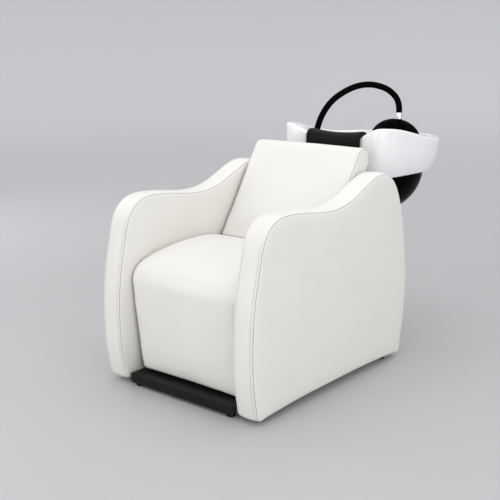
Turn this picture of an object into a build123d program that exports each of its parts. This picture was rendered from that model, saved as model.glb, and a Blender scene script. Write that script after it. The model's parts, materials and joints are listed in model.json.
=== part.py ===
from build123d import *
import math
import os

os.makedirs("parts", exist_ok=True)

# Overall sizes. Depths are measured back from the front of the side panels.
overall_width = 700.0
clearance = 0.3
overrun = 60.0

# Seat and back sizes that the frame, the panels and the basin follow
seat_rear_depth, seat_rear_height = 527.0, 470.0
seat_board_thickness = 16.0
back_foot_setback, back_foot_rise = 3.0, 2.0
back_foot_depth = seat_rear_depth + back_foot_setback
back_foot_height = seat_rear_height + back_foot_rise
back_head_depth, back_head_height = 738.0, 802.0
back_thickness = 85.0
back_board_thickness = 15.0
back_length = math.hypot(back_head_depth - back_foot_depth, back_head_height - back_foot_height)
back_run = (back_head_depth - back_foot_depth) / back_length
back_rise = (back_head_height - back_foot_height) / back_length
frame_setback = 92.0
panel_setback = 115.0
basin_forward = 37.0
basin_length = 592.0
frame_rear = back_head_depth + frame_setback
panel_depth = frame_rear + panel_setback
basin_front = panel_depth - basin_forward
overall_depth = basin_front + basin_length
front_y = -overall_depth / 2


def plan_at(height):
    """A level plane: local X across the chair, local Y back from its front."""
    return Plane(origin=(0, front_y, height))


def side_at(across):
    """An upright plane facing +X: local X back from the front, local Y up."""
    return Plane(origin=(across, front_y, 0), x_dir=(0, 1, 0), z_dir=(1, 0, 0))


def front_at(depth):
    """An upright plane facing the front: local X to the right, local Y up."""
    return Plane(origin=(0, front_y + depth, 0), x_dir=(1, 0, 0), z_dir=(0, -1, 0))


def circle_through(start, middle, end):
    """Centre and radius of the circle through three points of a side view."""
    (ax, ay), (bx, by), (cx, cy) = start, middle, end
    twice = 2 * (ax * (by - cy) + bx * (cy - ay) + cx * (ay - by))
    a2, b2, c2 = ax**2 + ay**2, bx**2 + by**2, cx**2 + cy**2
    centre_x = (a2 * (by - cy) + b2 * (cy - ay) + c2 * (ay - by)) / twice
    centre_y = (a2 * (cx - bx) + b2 * (ax - cx) + c2 * (bx - ax)) / twice
    return centre_x, centre_y, math.hypot(ax - centre_x, ay - centre_y)


def save(builder, label):
    """Label a finished sub-part and write it to its own file."""
    builder.part.label = label
    export_step(builder.part, f"parts/{label}.step")
    print(label, len(builder.part.solids()), "solids", round(builder.part.volume / 1000), "cm3")


# Side panels, upholstered boards whose top edge is the arm rest and rises beside the back
panel_thickness = 92.0
panel_height = 737.0
panel_edge_radius = 15.0
panel_arch_height = 27.0
panel_outline_shares = [
    (0.032, 0.019), (0.010, 0.143), (0.000, 0.320), (0.011, 0.545), (0.037, 0.710), (0.076, 0.848),
    (0.133, 0.903), (0.212, 0.914), (0.330, 0.900), (0.465, 0.885), (0.560, 0.902), (0.677, 0.962),
    (0.762, 0.999), (0.820, 0.998), (0.878, 0.958), (0.930, 0.855), (0.972, 0.672), (0.996, 0.475),
    (0.999, 0.300), (0.985, 0.150), (0.963, 0.019),
]
panel_points = [(back * panel_depth, up * panel_height) for back, up in panel_outline_shares]
panel_toe, panel_heel = panel_points[0], panel_points[-1]
panel_arch = ((panel_toe[0] + panel_heel[0]) / 2, panel_arch_height)
panel_inner_x = overall_width / 2 - panel_thickness
panel_middle_x = overall_width / 2 - panel_thickness / 2


def behind_back(along, offset):
    """A point of the side view: so far up the front of the back rest, and so far behind it."""
    return (
        back_foot_depth + along * back_run + offset * back_rise,
        back_foot_height + along * back_rise - offset * back_run,
    )


# Steel frame of square tube
tube = 30.0
tube_wall = 2.0
vent_radius = 3.0
frame_front = 150.0
frame_bottom, frame_seat_height, frame_head_height = 40.0, 330.0, 637.0
frame_back_offset = back_thickness + back_board_thickness
frame_line = behind_back(0, frame_back_offset)


def on_frame_line(height):
    """The depth of the frame's sloping member, which carries the back board, at a height."""
    return frame_line[0] + (height - frame_line[1]) * back_run / back_rise


frame_points = [
    (frame_front, frame_bottom),
    (frame_front, frame_seat_height),
    (on_frame_line(frame_seat_height), frame_seat_height),
    (on_frame_line(frame_head_height), frame_head_height),
    (frame_rear, frame_head_height),
    (frame_rear, frame_bottom),
]
frame_outer_x = panel_inner_x
frame_inner_x = frame_outer_x - tube
upright_middle = frame_rear - tube / 2

with BuildPart() as right_side_frame:
    with BuildSketch(side_at(frame_inner_x)):
        with BuildLine():
            Polyline(*frame_points, close=True)
        make_face()
        offset(amount=-tube, kind=Kind.INTERSECTION, mode=Mode.SUBTRACT)
    extrude(amount=tube)
    with BuildSketch(side_at(frame_inner_x + tube_wall)):
        with BuildLine():
            Polyline(*frame_points, close=True)
        make_face()
        offset(amount=-tube_wall, kind=Kind.INTERSECTION, mode=Mode.REPLACE)
        offset(amount=2 * tube_wall - tube, kind=Kind.INTERSECTION, mode=Mode.SUBTRACT)
    extrude(amount=tube - 2 * tube_wall, mode=Mode.SUBTRACT)
    with BuildSketch(plan_at(frame_bottom)):
        with Locations(
            (frame_inner_x + tube / 2, frame_front + tube),
            (frame_inner_x + tube / 2, frame_rear - tube),
        ):
            Circle(vent_radius)
    extrude(amount=2 * tube_wall, mode=Mode.SUBTRACT)

# Panel boards and the bolts that hold them to the frame
board_thickness = 18.0
board_margin = 14.0
board_corner = 18.0
bolt_drop = 2 * tube
board_points = [
    (frame_front - board_margin, frame_bottom + board_margin),
    (frame_front - board_margin, frame_seat_height),
    (on_frame_line(frame_seat_height), frame_seat_height),
    (on_frame_line(frame_head_height) - board_margin, frame_head_height - 2 * board_margin),
    (frame_rear + board_margin, frame_head_height - 2 * board_margin),
    (frame_rear + board_margin, frame_bottom + board_margin),
]
bolt_radius = 4.0
bolt_head_radius = 6.5
bolt_head_height = 5.0
bolt_spots = [
    (frame_front + tube / 2, frame_bottom + bolt_drop),
    (frame_front + tube / 2, frame_seat_height - bolt_drop),
    ((frame_front + on_frame_line(frame_seat_height)) / 2, frame_seat_height - tube / 2),
    (upright_middle, frame_head_height - bolt_drop),
    (upright_middle, (frame_bottom + frame_head_height) / 2),
    (upright_middle, frame_bottom + bolt_drop),
]

with BuildPart() as right_panel_board:
    with BuildSketch(side_at(panel_inner_x)):
        with BuildLine():
            Polyline(*board_points, close=True)
        make_face()
        with Locations(*bolt_spots):
            Circle(bolt_radius + clearance, mode=Mode.SUBTRACT)
    extrude(amount=board_thickness)
    fillet(right_panel_board.edges().filter_by(Axis.X).filter_by(GeomType.LINE), board_corner)

with BuildPart() as drilled_frame:
    add(right_side_frame.part)
    with BuildSketch(side_at(frame_inner_x - overrun)):
        with Locations(*bolt_spots):
            Circle(bolt_radius + clearance)
    extrude(amount=2 * overrun, mode=Mode.SUBTRACT)
save(drilled_frame, "right_side_frame")

with BuildPart() as left_side_frame:
    mirror(drilled_frame.part, about=Plane.YZ)
save(left_side_frame, "left_side_frame")

with BuildPart() as bolts:
    with BuildSketch(side_at(frame_inner_x)):
        with Locations(*bolt_spots):
            Circle(bolt_radius)
    extrude(amount=tube + board_thickness)
    with BuildSketch(side_at(frame_inner_x)):
        with Locations(*bolt_spots):
            RegularPolygon(bolt_head_radius, 6)
    extrude(amount=-bolt_head_height)
    mirror(about=Plane.YZ)
save(bolts, "panel_bolts")

save(right_panel_board, "right_panel_board")

with BuildPart() as left_panel_board:
    mirror(right_panel_board.part, about=Plane.YZ)
save(left_panel_board, "left_panel_board")

# Side panels, with the pocket for the board and holes for the glides
glide_radius = 16.0
glide_pad_height = 12.0
glide_stem_radius = 5.0
glide_stem_reach = 30.0
glide_front_depth, glide_rear_inset = 92.0, 103.0
glide_rear_depth = panel_depth - glide_rear_inset
glide_spots = [(panel_middle_x, glide_front_depth), (panel_middle_x, glide_rear_depth)]

with BuildPart() as right_side_panel:
    with BuildSketch(side_at(panel_inner_x)):
        with BuildLine():
            Spline(*panel_points)
            ThreePointArc(panel_heel, panel_arch, panel_toe)
        make_face()
    extrude(amount=panel_thickness)
    rims = right_side_panel.faces().filter_by(Axis.X).edges()
    fillet(rims, panel_edge_radius)
    with BuildSketch(side_at(panel_inner_x)):
        with BuildLine():
            Polyline(*board_points, close=True)
        make_face()
    extrude(amount=board_thickness, mode=Mode.SUBTRACT)
    fillet(
        right_side_panel.edges().filter_by(Axis.X).filter_by(
            lambda edge: abs(edge.length - board_thickness) < clearance
        ),
        board_corner,
    )
    with BuildSketch(plan_at(0)):
        with Locations(*glide_spots):
            Circle(glide_stem_radius + clearance)
    extrude(amount=glide_pad_height + glide_stem_reach + clearance, mode=Mode.SUBTRACT)
save(right_side_panel, "right_side_panel")

with BuildPart() as left_side_panel:
    mirror(right_side_panel.part, about=Plane.YZ)
save(left_side_panel, "left_side_panel")

with BuildPart() as panel_glides:
    with BuildSketch(plan_at(0)):
        with Locations(*glide_spots):
            Circle(glide_radius)
    extrude(amount=glide_pad_height)
    chamfer(panel_glides.edges().group_by(Axis.Z)[-1], tube_wall)
    with BuildSketch(plan_at(glide_pad_height)):
        with Locations(*glide_spots):
            Circle(glide_stem_radius)
    extrude(amount=glide_stem_reach)
    mirror(about=Plane.YZ)
save(panel_glides, "panel_glides")

# Cross tubes between the side frames
cross_spots = [
    (frame_front + tube / 2, frame_bottom + tube / 2),
    (frame_front + tube / 2, frame_seat_height - tube / 2),
    (on_frame_line(frame_seat_height) - tube, frame_seat_height - tube / 2),
    (upright_middle, frame_bottom + tube / 2),
    (upright_middle, frame_head_height - tube / 2),
]

with BuildPart() as cross_tubes:
    with BuildSketch(side_at(-frame_inner_x)):
        with Locations(*cross_spots):
            RectangleRounded(tube, tube, tube_wall)
            Rectangle(tube - 2 * tube_wall, tube - 2 * tube_wall, mode=Mode.SUBTRACT)
    extrude(amount=2 * frame_inner_x)
save(cross_tubes, "cross_tubes")

# Basin levels, which hang on the height of its ledge, and the tilt pivot under its front
basin_ledge_height = 775.0
basin_body_depth = 95.0
basin_bottom = basin_ledge_height - basin_body_depth
pivot_setback = 77.0
pivot_drop = 65.0
pivot_depth, pivot_height = basin_front + pivot_setback, basin_bottom - pivot_drop

# Basin mast: two uprights with arm plates that reach back to the tilt pivot
pivot_radius = 10.0
running_fit = 0.05
arm_plate = 10.0
arm_inner_x = 49.0
arm_boss_radius = 26.0
arm_foot_height = 420.0
arm_waist_reach, arm_waist_depth = 68.0, 79.0
arm_hole_radius = 14.0
brace_setback = 12.0
brace_height_low, brace_height_high = 548.0, 600.0
mast_bottom, mast_top = frame_bottom + tube, frame_head_height - tube
arm_outer_x = arm_inner_x + arm_plate
arm_foot = (frame_rear - tube, arm_foot_height)
arm_shoulder = (frame_rear + clearance, mast_top)
arm_crown = (pivot_depth, pivot_height + arm_boss_radius)
arm_chin = (pivot_depth, pivot_height - arm_boss_radius)
arm_slope = (arm_crown[1] - arm_shoulder[1]) / (arm_crown[0] - arm_shoulder[0])
arm_waist_top = arm_shoulder[1] + arm_slope * (arm_foot[0] + arm_waist_reach - arm_shoulder[0])
arm_waist = (arm_foot[0] + arm_waist_reach, arm_waist_top - arm_waist_depth)
arm_hole = (arm_waist[0], arm_waist_top - arm_waist_depth / 2)

with BuildPart() as basin_mast:
    for side in (-1, 1):
        with BuildSketch(plan_at(mast_bottom)):
            with Locations((side * (arm_outer_x + tube / 2), upright_middle)):
                RectangleRounded(tube, tube, tube_wall)
                Rectangle(tube - 2 * tube_wall, tube - 2 * tube_wall, mode=Mode.SUBTRACT)
        extrude(amount=mast_top - mast_bottom)
        with BuildSketch(side_at(side * (arm_inner_x + arm_plate / 2))):
            with BuildLine():
                Polyline(arm_foot, (arm_foot[0], mast_top), arm_shoulder, arm_crown)
                ThreePointArc(arm_crown, (pivot_depth + arm_boss_radius, pivot_height), arm_chin)
                ThreePointArc(arm_chin, arm_waist, arm_foot)
            make_face()
            with Locations((pivot_depth, pivot_height)):
                Circle(pivot_radius + running_fit, mode=Mode.SUBTRACT)
            with Locations(arm_hole):
                Circle(arm_hole_radius, mode=Mode.SUBTRACT)
        extrude(amount=arm_plate / 2, both=True)
    with BuildSketch(front_at(frame_rear + brace_setback)):
        with Locations((0, (brace_height_low + brace_height_high) / 2)):
            Rectangle(2 * arm_inner_x, brace_height_high - brace_height_low)
    extrude(amount=-arm_plate)
save(basin_mast, "basin_mast")

# Tilt shaft with its end nuts
nut_thickness = 8.0
nut_radius = 16.0
shaft_reach = arm_outer_x + 2 * nut_thickness

with BuildPart() as tilt_shaft:
    with BuildSketch(side_at(-shaft_reach)):
        with Locations((pivot_depth, pivot_height)):
            Circle(pivot_radius)
    extrude(amount=2 * shaft_reach)
    chamfer(tilt_shaft.edges(), tube_wall)
save(tilt_shaft, "tilt_shaft")

with BuildPart() as shaft_nuts:
    with BuildSketch(side_at(arm_outer_x)):
        with Locations((pivot_depth, pivot_height)):
            RegularPolygon(nut_radius, 6)
            Circle(pivot_radius + running_fit, mode=Mode.SUBTRACT)
    extrude(amount=nut_thickness)
    mirror(about=Plane.YZ)
save(shaft_nuts, "shaft_nuts")

# Kick bar across the front, a folded channel on two feet
kick_bar_end_gap = 17.0
kick_bar_half_width = panel_inner_x - kick_bar_end_gap
kick_bar_front = 30.0
kick_bar_bottom, kick_bar_top = 11.0, 45.0
kick_bar_wall = 3.0
kick_bar_bend = 4.0
kick_foot_radius = 15.0
kick_foot_height = 8.0
kick_foot_inset, kick_foot_depth = 27.0, 50.0
kick_foot_x = kick_bar_half_width - kick_foot_inset
kick_stem_radius = 5.0

with BuildPart() as kick_bar:
    with BuildSketch(side_at(-kick_bar_half_width)):
        with BuildLine():
            Polyline(
                (kick_bar_front, kick_bar_bottom),
                (kick_bar_front, kick_bar_top),
                (frame_front, kick_bar_top),
                (frame_front, kick_bar_top - kick_bar_wall),
                (kick_bar_front + kick_bar_wall, kick_bar_top - kick_bar_wall),
                (kick_bar_front + kick_bar_wall, kick_bar_bottom),
                close=True,
            )
        make_face()
    extrude(amount=2 * kick_bar_half_width)
    front_bend = kick_bar.edges().filter_by(Axis.X).group_by(Axis.Z)[-1].sort_by(Axis.Y)[0]
    fillet(front_bend, kick_bar_bend)
save(kick_bar, "kick_bar")

with BuildPart() as kick_bar_feet:
    with BuildSketch(plan_at(0)):
        with Locations((-kick_foot_x, kick_foot_depth), (kick_foot_x, kick_foot_depth)):
            Circle(kick_foot_radius)
    extrude(amount=kick_foot_height)
    chamfer(kick_bar_feet.edges().group_by(Axis.Z)[-1], tube_wall)
    with BuildSketch(plan_at(kick_foot_height)):
        with Locations((-kick_foot_x, kick_foot_depth), (kick_foot_x, kick_foot_depth)):
            Circle(kick_stem_radius)
    extrude(amount=kick_bar_top - kick_bar_wall - kick_foot_height)
save(kick_bar_feet, "kick_bar_feet")

# Seat: a waterfall cushion whose front hangs down as an apron
seat_side_gap = 5.0
seat_half_width = panel_inner_x - seat_side_gap
seat_crown = 8.0
seat_edge_draw = 12.0
seat_edge_width = 16.0
seat_underside = frame_seat_height + seat_board_thickness
seat_rear_foot = 545.0
apron_bottom = 52.0
apron_back = 135.0
apron_low_gap = 34.0
apron_low_half_width = panel_inner_x - apron_low_gap
seat_front_low = (80.0, 60.0)
seat_front_high = (56.0, 346.0)
seat_brow = (66.0, 424.0)
seat_brow_end = (106.0, 457.0)
seat_saddle = (312.0, 491.0)
back_foot_gap = 0.5
crown_share = 0.75


def seat_section(across, swell):
    """One upright section of the seat, its front and top pushed out by the swell."""
    with BuildSketch(side_at(across)) as section:
        with BuildLine():
            Line((apron_back, apron_bottom), (seat_front_low[0] - swell, apron_bottom))
            Line(
                (seat_front_low[0] - swell, apron_bottom),
                (seat_front_high[0] - swell, seat_front_high[1]),
            )
            ThreePointArc(
                (seat_front_high[0] - swell, seat_front_high[1]),
                (seat_brow[0] - swell, seat_brow[1] + swell),
                (seat_brow_end[0], seat_brow_end[1] + swell),
            )
            ThreePointArc(
                (seat_brow_end[0], seat_brow_end[1] + swell),
                (seat_saddle[0], seat_saddle[1] + swell),
                (seat_rear_depth, seat_rear_height + min(swell, 0)),
            )
            Polyline(
                (seat_rear_depth, seat_rear_height + min(swell, 0)),
                (seat_rear_foot, seat_underside),
                (apron_back, seat_underside),
                (apron_back, apron_bottom),
            )
        make_face()
    return section.sketch


seat_stations = [
    (-seat_half_width, -seat_edge_draw),
    (seat_edge_width - seat_half_width, 0),
    (-seat_half_width / 2, seat_crown * crown_share),
    (0, seat_crown),
    (seat_half_width / 2, seat_crown * crown_share),
    (seat_half_width - seat_edge_width, 0),
    (seat_half_width, -seat_edge_draw),
]

with BuildPart() as seat_cushion:
    loft([seat_section(across, swell).face() for across, swell in seat_stations])
    with BuildSketch(front_at(apron_back)):
        for side in (-1, 1):
            with BuildLine():
                Polyline(
                    (side * (seat_half_width + clearance), seat_underside),
                    (side * (seat_half_width + clearance), 0),
                    (side * apron_low_half_width, 0),
                    (side * apron_low_half_width, apron_bottom),
                    (side * (seat_half_width + clearance), seat_underside),
                )
            make_face()
    extrude(amount=2 * overrun, mode=Mode.SUBTRACT)
    with BuildSketch(side_at(-overall_width / 2)):
        with BuildLine():
            Polyline(
                behind_back(-back_foot_gap, -overrun),
                behind_back(-back_foot_gap, back_thickness),
                behind_back(overrun, back_thickness),
                behind_back(overrun, -overrun),
                close=True,
            )
        make_face()
    extrude(amount=overall_width, mode=Mode.SUBTRACT)
save(seat_cushion, "seat_cushion")

seat_board_margin = 5.0

with BuildPart() as seat_board:
    with BuildSketch(plan_at(frame_seat_height)):
        with Locations((0, (apron_back + seat_rear_foot) / 2)):
            RectangleRounded(
                2 * seat_half_width - 2 * seat_board_margin, seat_rear_foot - apron_back, board_corner
            )
    extrude(amount=seat_board_thickness)
save(seat_board, "seat_board")

apron_board_low = 75.0

with BuildPart() as apron_board:
    with BuildSketch(front_at(frame_front)):
        with Locations((0, (apron_board_low + frame_seat_height) / 2)):
            RectangleRounded(2 * apron_low_half_width, frame_seat_height - apron_board_low, board_corner)
    extrude(amount=frame_front - apron_back)
save(apron_board, "apron_board")

# Back rest: a raked cushion with a rounded head, cut upright behind
back_side_gap = 8.0
back_half_width = panel_inner_x - back_side_gap
back_crown = 8.0
back_edge_draw = 10.0
back_edge_width = 14.0
back_head_roll, back_head_rise = 34.0, 19.0
back_head_top = (back_head_depth + back_head_roll, back_head_height + back_head_rise)
back_rear_setback, back_shoulder_drop = 73.0, 18.0
back_rear_depth = back_head_depth + back_rear_setback
back_shoulder = (back_rear_depth, back_head_height - back_shoulder_drop)
back_rear_foot = (
    back_rear_depth,
    behind_back(0, back_thickness)[1]
    + (back_rear_depth - behind_back(0, back_thickness)[0]) * back_rise / back_run,
)


def back_section(across, swell):
    """One upright section of the back rest, its front pushed out by the swell."""
    inset = min(swell, 0)
    foot = behind_back(0, -swell)
    head = behind_back(back_length, -swell)
    with BuildSketch(side_at(across)) as section:
        with BuildLine():
            Line(foot, head)
            ThreePointArc(
                head,
                (back_head_top[0], back_head_top[1] + inset),
                (back_shoulder[0] + inset, back_shoulder[1]),
            )
            Polyline(
                (back_shoulder[0] + inset, back_shoulder[1]),
                (back_rear_foot[0] + inset, back_rear_foot[1]),
                behind_back(0, back_thickness),
                foot,
            )
        make_face()
    return section.sketch


back_stations = [
    (-back_half_width, -back_edge_draw),
    (back_edge_width - back_half_width, 0),
    (-back_half_width / 2, back_crown * crown_share),
    (0, back_crown),
    (back_half_width / 2, back_crown * crown_share),
    (back_half_width - back_edge_width, 0),
    (back_half_width, -back_edge_draw),
]

with BuildPart() as backrest_cushion:
    loft([back_section(across, swell).face() for across, swell in back_stations])
    with BuildSketch(side_at(-overall_width / 2)):
        with BuildLine():
            Polyline(
                behind_back(-overrun, back_thickness - running_fit),
                behind_back(back_length, back_thickness - running_fit),
                behind_back(back_length, back_thickness + overrun),
                behind_back(-overrun, back_thickness + overrun),
                close=True,
            )
        make_face()
    extrude(amount=overall_width, mode=Mode.SUBTRACT)
save(backrest_cushion, "backrest_cushion")

back_board_start, back_board_end = 12.0, 262.0

with BuildPart() as backrest_board:
    with BuildSketch(side_at(-frame_outer_x + clearance)):
        with BuildLine():
            Polyline(
                behind_back(back_board_start, back_thickness),
                behind_back(back_board_end, back_thickness),
                behind_back(back_board_end, frame_back_offset),
                behind_back(back_board_start, frame_back_offset),
                close=True,
            )
        make_face()
    extrude(amount=2 * frame_outer_x - 2 * clearance)
save(backrest_board, "backrest_board")

# Rear cover between the panels, on stand-offs from the frame
cover_thickness = 12.0
cover_gap = 1.0
cover_half_width = panel_inner_x - cover_gap
cover_foot_setback, cover_belly_setback, cover_shoulder_setback, cover_head_forward = 56.0, 90.0, 34.0, 4.0
cover_foot = (frame_rear + cover_foot_setback, 26.0)
cover_belly = (frame_rear + cover_belly_setback, 250.0)
cover_shoulder = (frame_rear + cover_shoulder_setback, 606.0)
cover_head = (frame_rear - cover_head_forward, 712.0)
cover_slot_half_width = 72.0
cover_slot_under, cover_slot_over = 24.0, 9.0
cover_slot_low = min(arm_waist[1], arm_chin[1]) - cover_slot_under
cover_slot_high = max(mast_top, arm_crown[1]) + cover_slot_over
standoff_radius = 8.0
standoff_x = frame_inner_x + tube / 2
standoff_heights = (100.0, 480.0)
cover_screw_radius = 3.0
cover_screw_head_radius = 6.0
cover_screw_sink = 4.0
cover_circle = circle_through(cover_foot, cover_belly, cover_shoulder)


def cover_face_depth(height, thickness):
    """Depth of the curved cover at a height: its outer face, or so much inside it."""
    return cover_circle[0] + math.sqrt(
        (cover_circle[2] - thickness) ** 2 - (height - cover_circle[1]) ** 2
    )


cover_lean = math.hypot(cover_head[0] - cover_shoulder[0], cover_head[1] - cover_shoulder[1])
cover_inner_x = cover_thickness * (cover_head[1] - cover_shoulder[1]) / cover_lean
cover_inner_drop = cover_thickness * (cover_shoulder[0] - cover_head[0]) / cover_lean
cover_inner_shoulder = cover_shoulder[1] - cover_inner_drop

with BuildPart() as rear_cover:
    with BuildSketch(side_at(-cover_half_width)):
        with BuildLine():
            ThreePointArc(cover_foot, cover_belly, cover_shoulder)
            Polyline(
                cover_shoulder,
                cover_head,
                (cover_head[0] - cover_inner_x, cover_head[1] - cover_inner_drop),
                (cover_face_depth(cover_inner_shoulder, cover_thickness), cover_inner_shoulder),
            )
            ThreePointArc(
                (cover_face_depth(cover_inner_shoulder, cover_thickness), cover_inner_shoulder),
                (cover_face_depth(cover_belly[1], cover_thickness), cover_belly[1]),
                (cover_face_depth(cover_foot[1], cover_thickness), cover_foot[1]),
            )
            Line((cover_face_depth(cover_foot[1], cover_thickness), cover_foot[1]), cover_foot)
        make_face()
    extrude(amount=2 * cover_half_width)
    with BuildSketch(front_at(frame_rear)):
        with Locations((0, (cover_slot_low + cover_slot_high) / 2)):
            RectangleRounded(2 * cover_slot_half_width, cover_slot_high - cover_slot_low, board_corner)
    extrude(amount=-2 * overrun, mode=Mode.SUBTRACT)
    for height in standoff_heights:
        seat_depth = cover_face_depth(height, cover_thickness / 2)
        with BuildSketch(front_at(seat_depth)):
            with Locations((-standoff_x, height), (standoff_x, height)):
                Circle(cover_screw_head_radius + clearance)
        extrude(amount=-2 * cover_thickness, mode=Mode.SUBTRACT)
        with BuildSketch(front_at(seat_depth)):
            with Locations((-standoff_x, height), (standoff_x, height)):
                Circle(cover_screw_radius + clearance)
        extrude(amount=2 * cover_thickness, mode=Mode.SUBTRACT)
save(rear_cover, "rear_cover")

with BuildPart() as cover_standoffs:
    for height in standoff_heights:
        reach = min(
            cover_face_depth(height - standoff_radius, cover_thickness),
            cover_face_depth(height + standoff_radius, cover_thickness),
        )
        with BuildSketch(front_at(frame_rear)):
            with Locations((-standoff_x, height), (standoff_x, height)):
                Circle(standoff_radius)
                Circle(cover_screw_radius + clearance, mode=Mode.SUBTRACT)
        extrude(amount=frame_rear + clearance - reach)
save(cover_standoffs, "cover_standoffs")

with BuildPart() as cover_screws:
    for height in standoff_heights:
        seat_depth = cover_face_depth(height, cover_thickness / 2)
        with BuildSketch(front_at(seat_depth)):
            with Locations((-standoff_x, height), (standoff_x, height)):
                Circle(cover_screw_head_radius)
        extrude(amount=-cover_screw_sink)
        with BuildSketch(front_at(seat_depth)):
            with Locations((-standoff_x, height), (standoff_x, height)):
                Circle(cover_screw_radius)
        extrude(amount=2 * cover_thickness)
save(cover_screws, "cover_screws")

# Ceramic basin: outline and levels
basin_half_width = 277.0
basin_middle = basin_front + basin_length / 2
basin_rear = basin_front + basin_length
basin_ledge_thickness = 15.0
basin_flange_thickness = 14.0
basin_wall = 18.0
basin_ear_rise, basin_rear_rise = 103.0, 37.0
basin_ear_height = basin_ledge_height + basin_ear_rise
basin_rear_height = basin_ledge_height + basin_rear_rise
basin_outline_shares = [
    (0.000, 0.0625), (0.400, 0.0550), (0.610, 0.0150), (0.760, 0.0100), (0.885, 0.0720),
    (0.968, 0.2400), (1.000, 0.4760), (0.932, 0.7180), (0.640, 0.9140), (0.000, 1.0000),
]
basin_recess_shares = [
    (0.000, 0.1200), (0.330, 0.1250), (0.590, 0.1750), (0.760, 0.2700), (0.840, 0.3700),
    (0.866, 0.4700), (0.860, 0.5600), (0.770, 0.7500), (0.500, 0.8950), (0.000, 0.9520),
]
basin_wall_insets = [(0.0, 30.0), (48.0, 11.0), (120.0, 2.0), (210.0, 0.0)]
rim_inset = 20.0
rim_line_shares = [
    (-0.06, 1.00), (0.04, 1.00), (0.15, 0.93), (0.32, 0.63), (0.50, 0.29), (0.66, 0.05),
    (0.82, -0.02), (1.05, 0.00),
]
rim_overlap = 1.0
basin_top = basin_bottom + basin_wall_insets[-1][0]
saddle_ear_width = 63.0
saddle_outer_half_width = basin_half_width - saddle_ear_width
saddle_mid_half_width = 128.0
saddle_inner_half_width = 84.0
saddle_mid_rise, saddle_low_rise, saddle_floor_rise = 64.0, 43.0, 38.0
saddle_reach = 70.0
bowl_side_ledge, bowl_end_ledge, bowl_forward = 107.0, 128.0, 61.0
bowl_middle = basin_middle - bowl_forward
bowl_half_width = basin_half_width - bowl_side_ledge
bowl_half_length = basin_length / 2 - bowl_end_ledge
bowl_depth = 135.0
bowl_floor_height = basin_ledge_height - bowl_depth
bowl_floor_setback, bowl_side_slope, bowl_end_slope = 27.0, 58.0, 50.0
bowl_floor_middle = bowl_middle + bowl_floor_setback
bowl_floor_half_width = bowl_half_width - bowl_side_slope
bowl_floor_half_length = bowl_half_length - bowl_end_slope
bowl_wall = 12.0
flange_inset = basin_wall_insets[0][1] + basin_flange_thickness
opening_setback, opening_end_margin, opening_side_gap = 8.5, 83.0, 8.0
opening_middle = basin_middle + opening_setback
opening_half_width = bowl_half_width + opening_side_gap
opening_half_length = basin_length / 2 - opening_end_margin


def basin_plan(height, inset, shares):
    """A closed plan outline of the basin at a height, drawn in evenly by the inset."""
    half = [
        (across * (basin_half_width - inset), basin_front + inset + back * (basin_length - 2 * inset))
        for across, back in shares
    ]
    mirrored = [(-across, back) for across, back in reversed(half[1:-1])]
    with BuildSketch(plan_at(height)) as plan:
        with BuildLine():
            Spline(*half, *mirrored, periodic=True)
        make_face()
    return plan.sketch.face()


def oval(height, middle, half_width, half_length):
    """An ellipse in plan at a height."""
    with BuildSketch(plan_at(height)) as plan:
        with Locations((0, middle)):
            Ellipse(half_width, half_length)
    return plan.sketch.face()


def saddle_line():
    """The curve of the neck saddle in front view, as a list of points."""
    half = [
        (saddle_outer_half_width, basin_ear_height),
        (saddle_mid_half_width, basin_ledge_height + saddle_mid_rise),
        (saddle_inner_half_width, basin_ledge_height + saddle_low_rise),
        (0, basin_ledge_height + saddle_floor_rise),
    ]
    return [(-across, up) for across, up in half] + half[-2::-1]


# Bores through the ledge and floor
waste_hole_radius = 24.0
grommet_side_gap, grommet_forward = 30.0, 48.0
grommet_x, grommet_depth = -bowl_half_width - grommet_side_gap, bowl_middle - grommet_forward
grommet_sleeve_radius = 17.0
spray_x, spray_setback, spray_to_mixer = 48.0, 140.0, 50.0
spray_depth = basin_rear - spray_setback
mixer_depth = spray_depth + spray_to_mixer
holder_radius = 22.0
mixer_shank_radius = 14.0
screw_radius = 3.0
screw_side_margin, screw_end_margin = 19.0, 16.0
screw_ring_half_width = opening_half_width + screw_side_margin
screw_ring_half_length = opening_half_length + screw_end_margin
screw_angles = (-150.0, -130.0, -50.0, -30.0, 30.0, 90.0, 150.0)
screw_hole_depth = 10.0
screw_spots = [
    (
        screw_ring_half_width * math.cos(math.radians(angle)),
        opening_middle + screw_ring_half_length * math.sin(math.radians(angle)),
    )
    for angle in screw_angles
]

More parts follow.
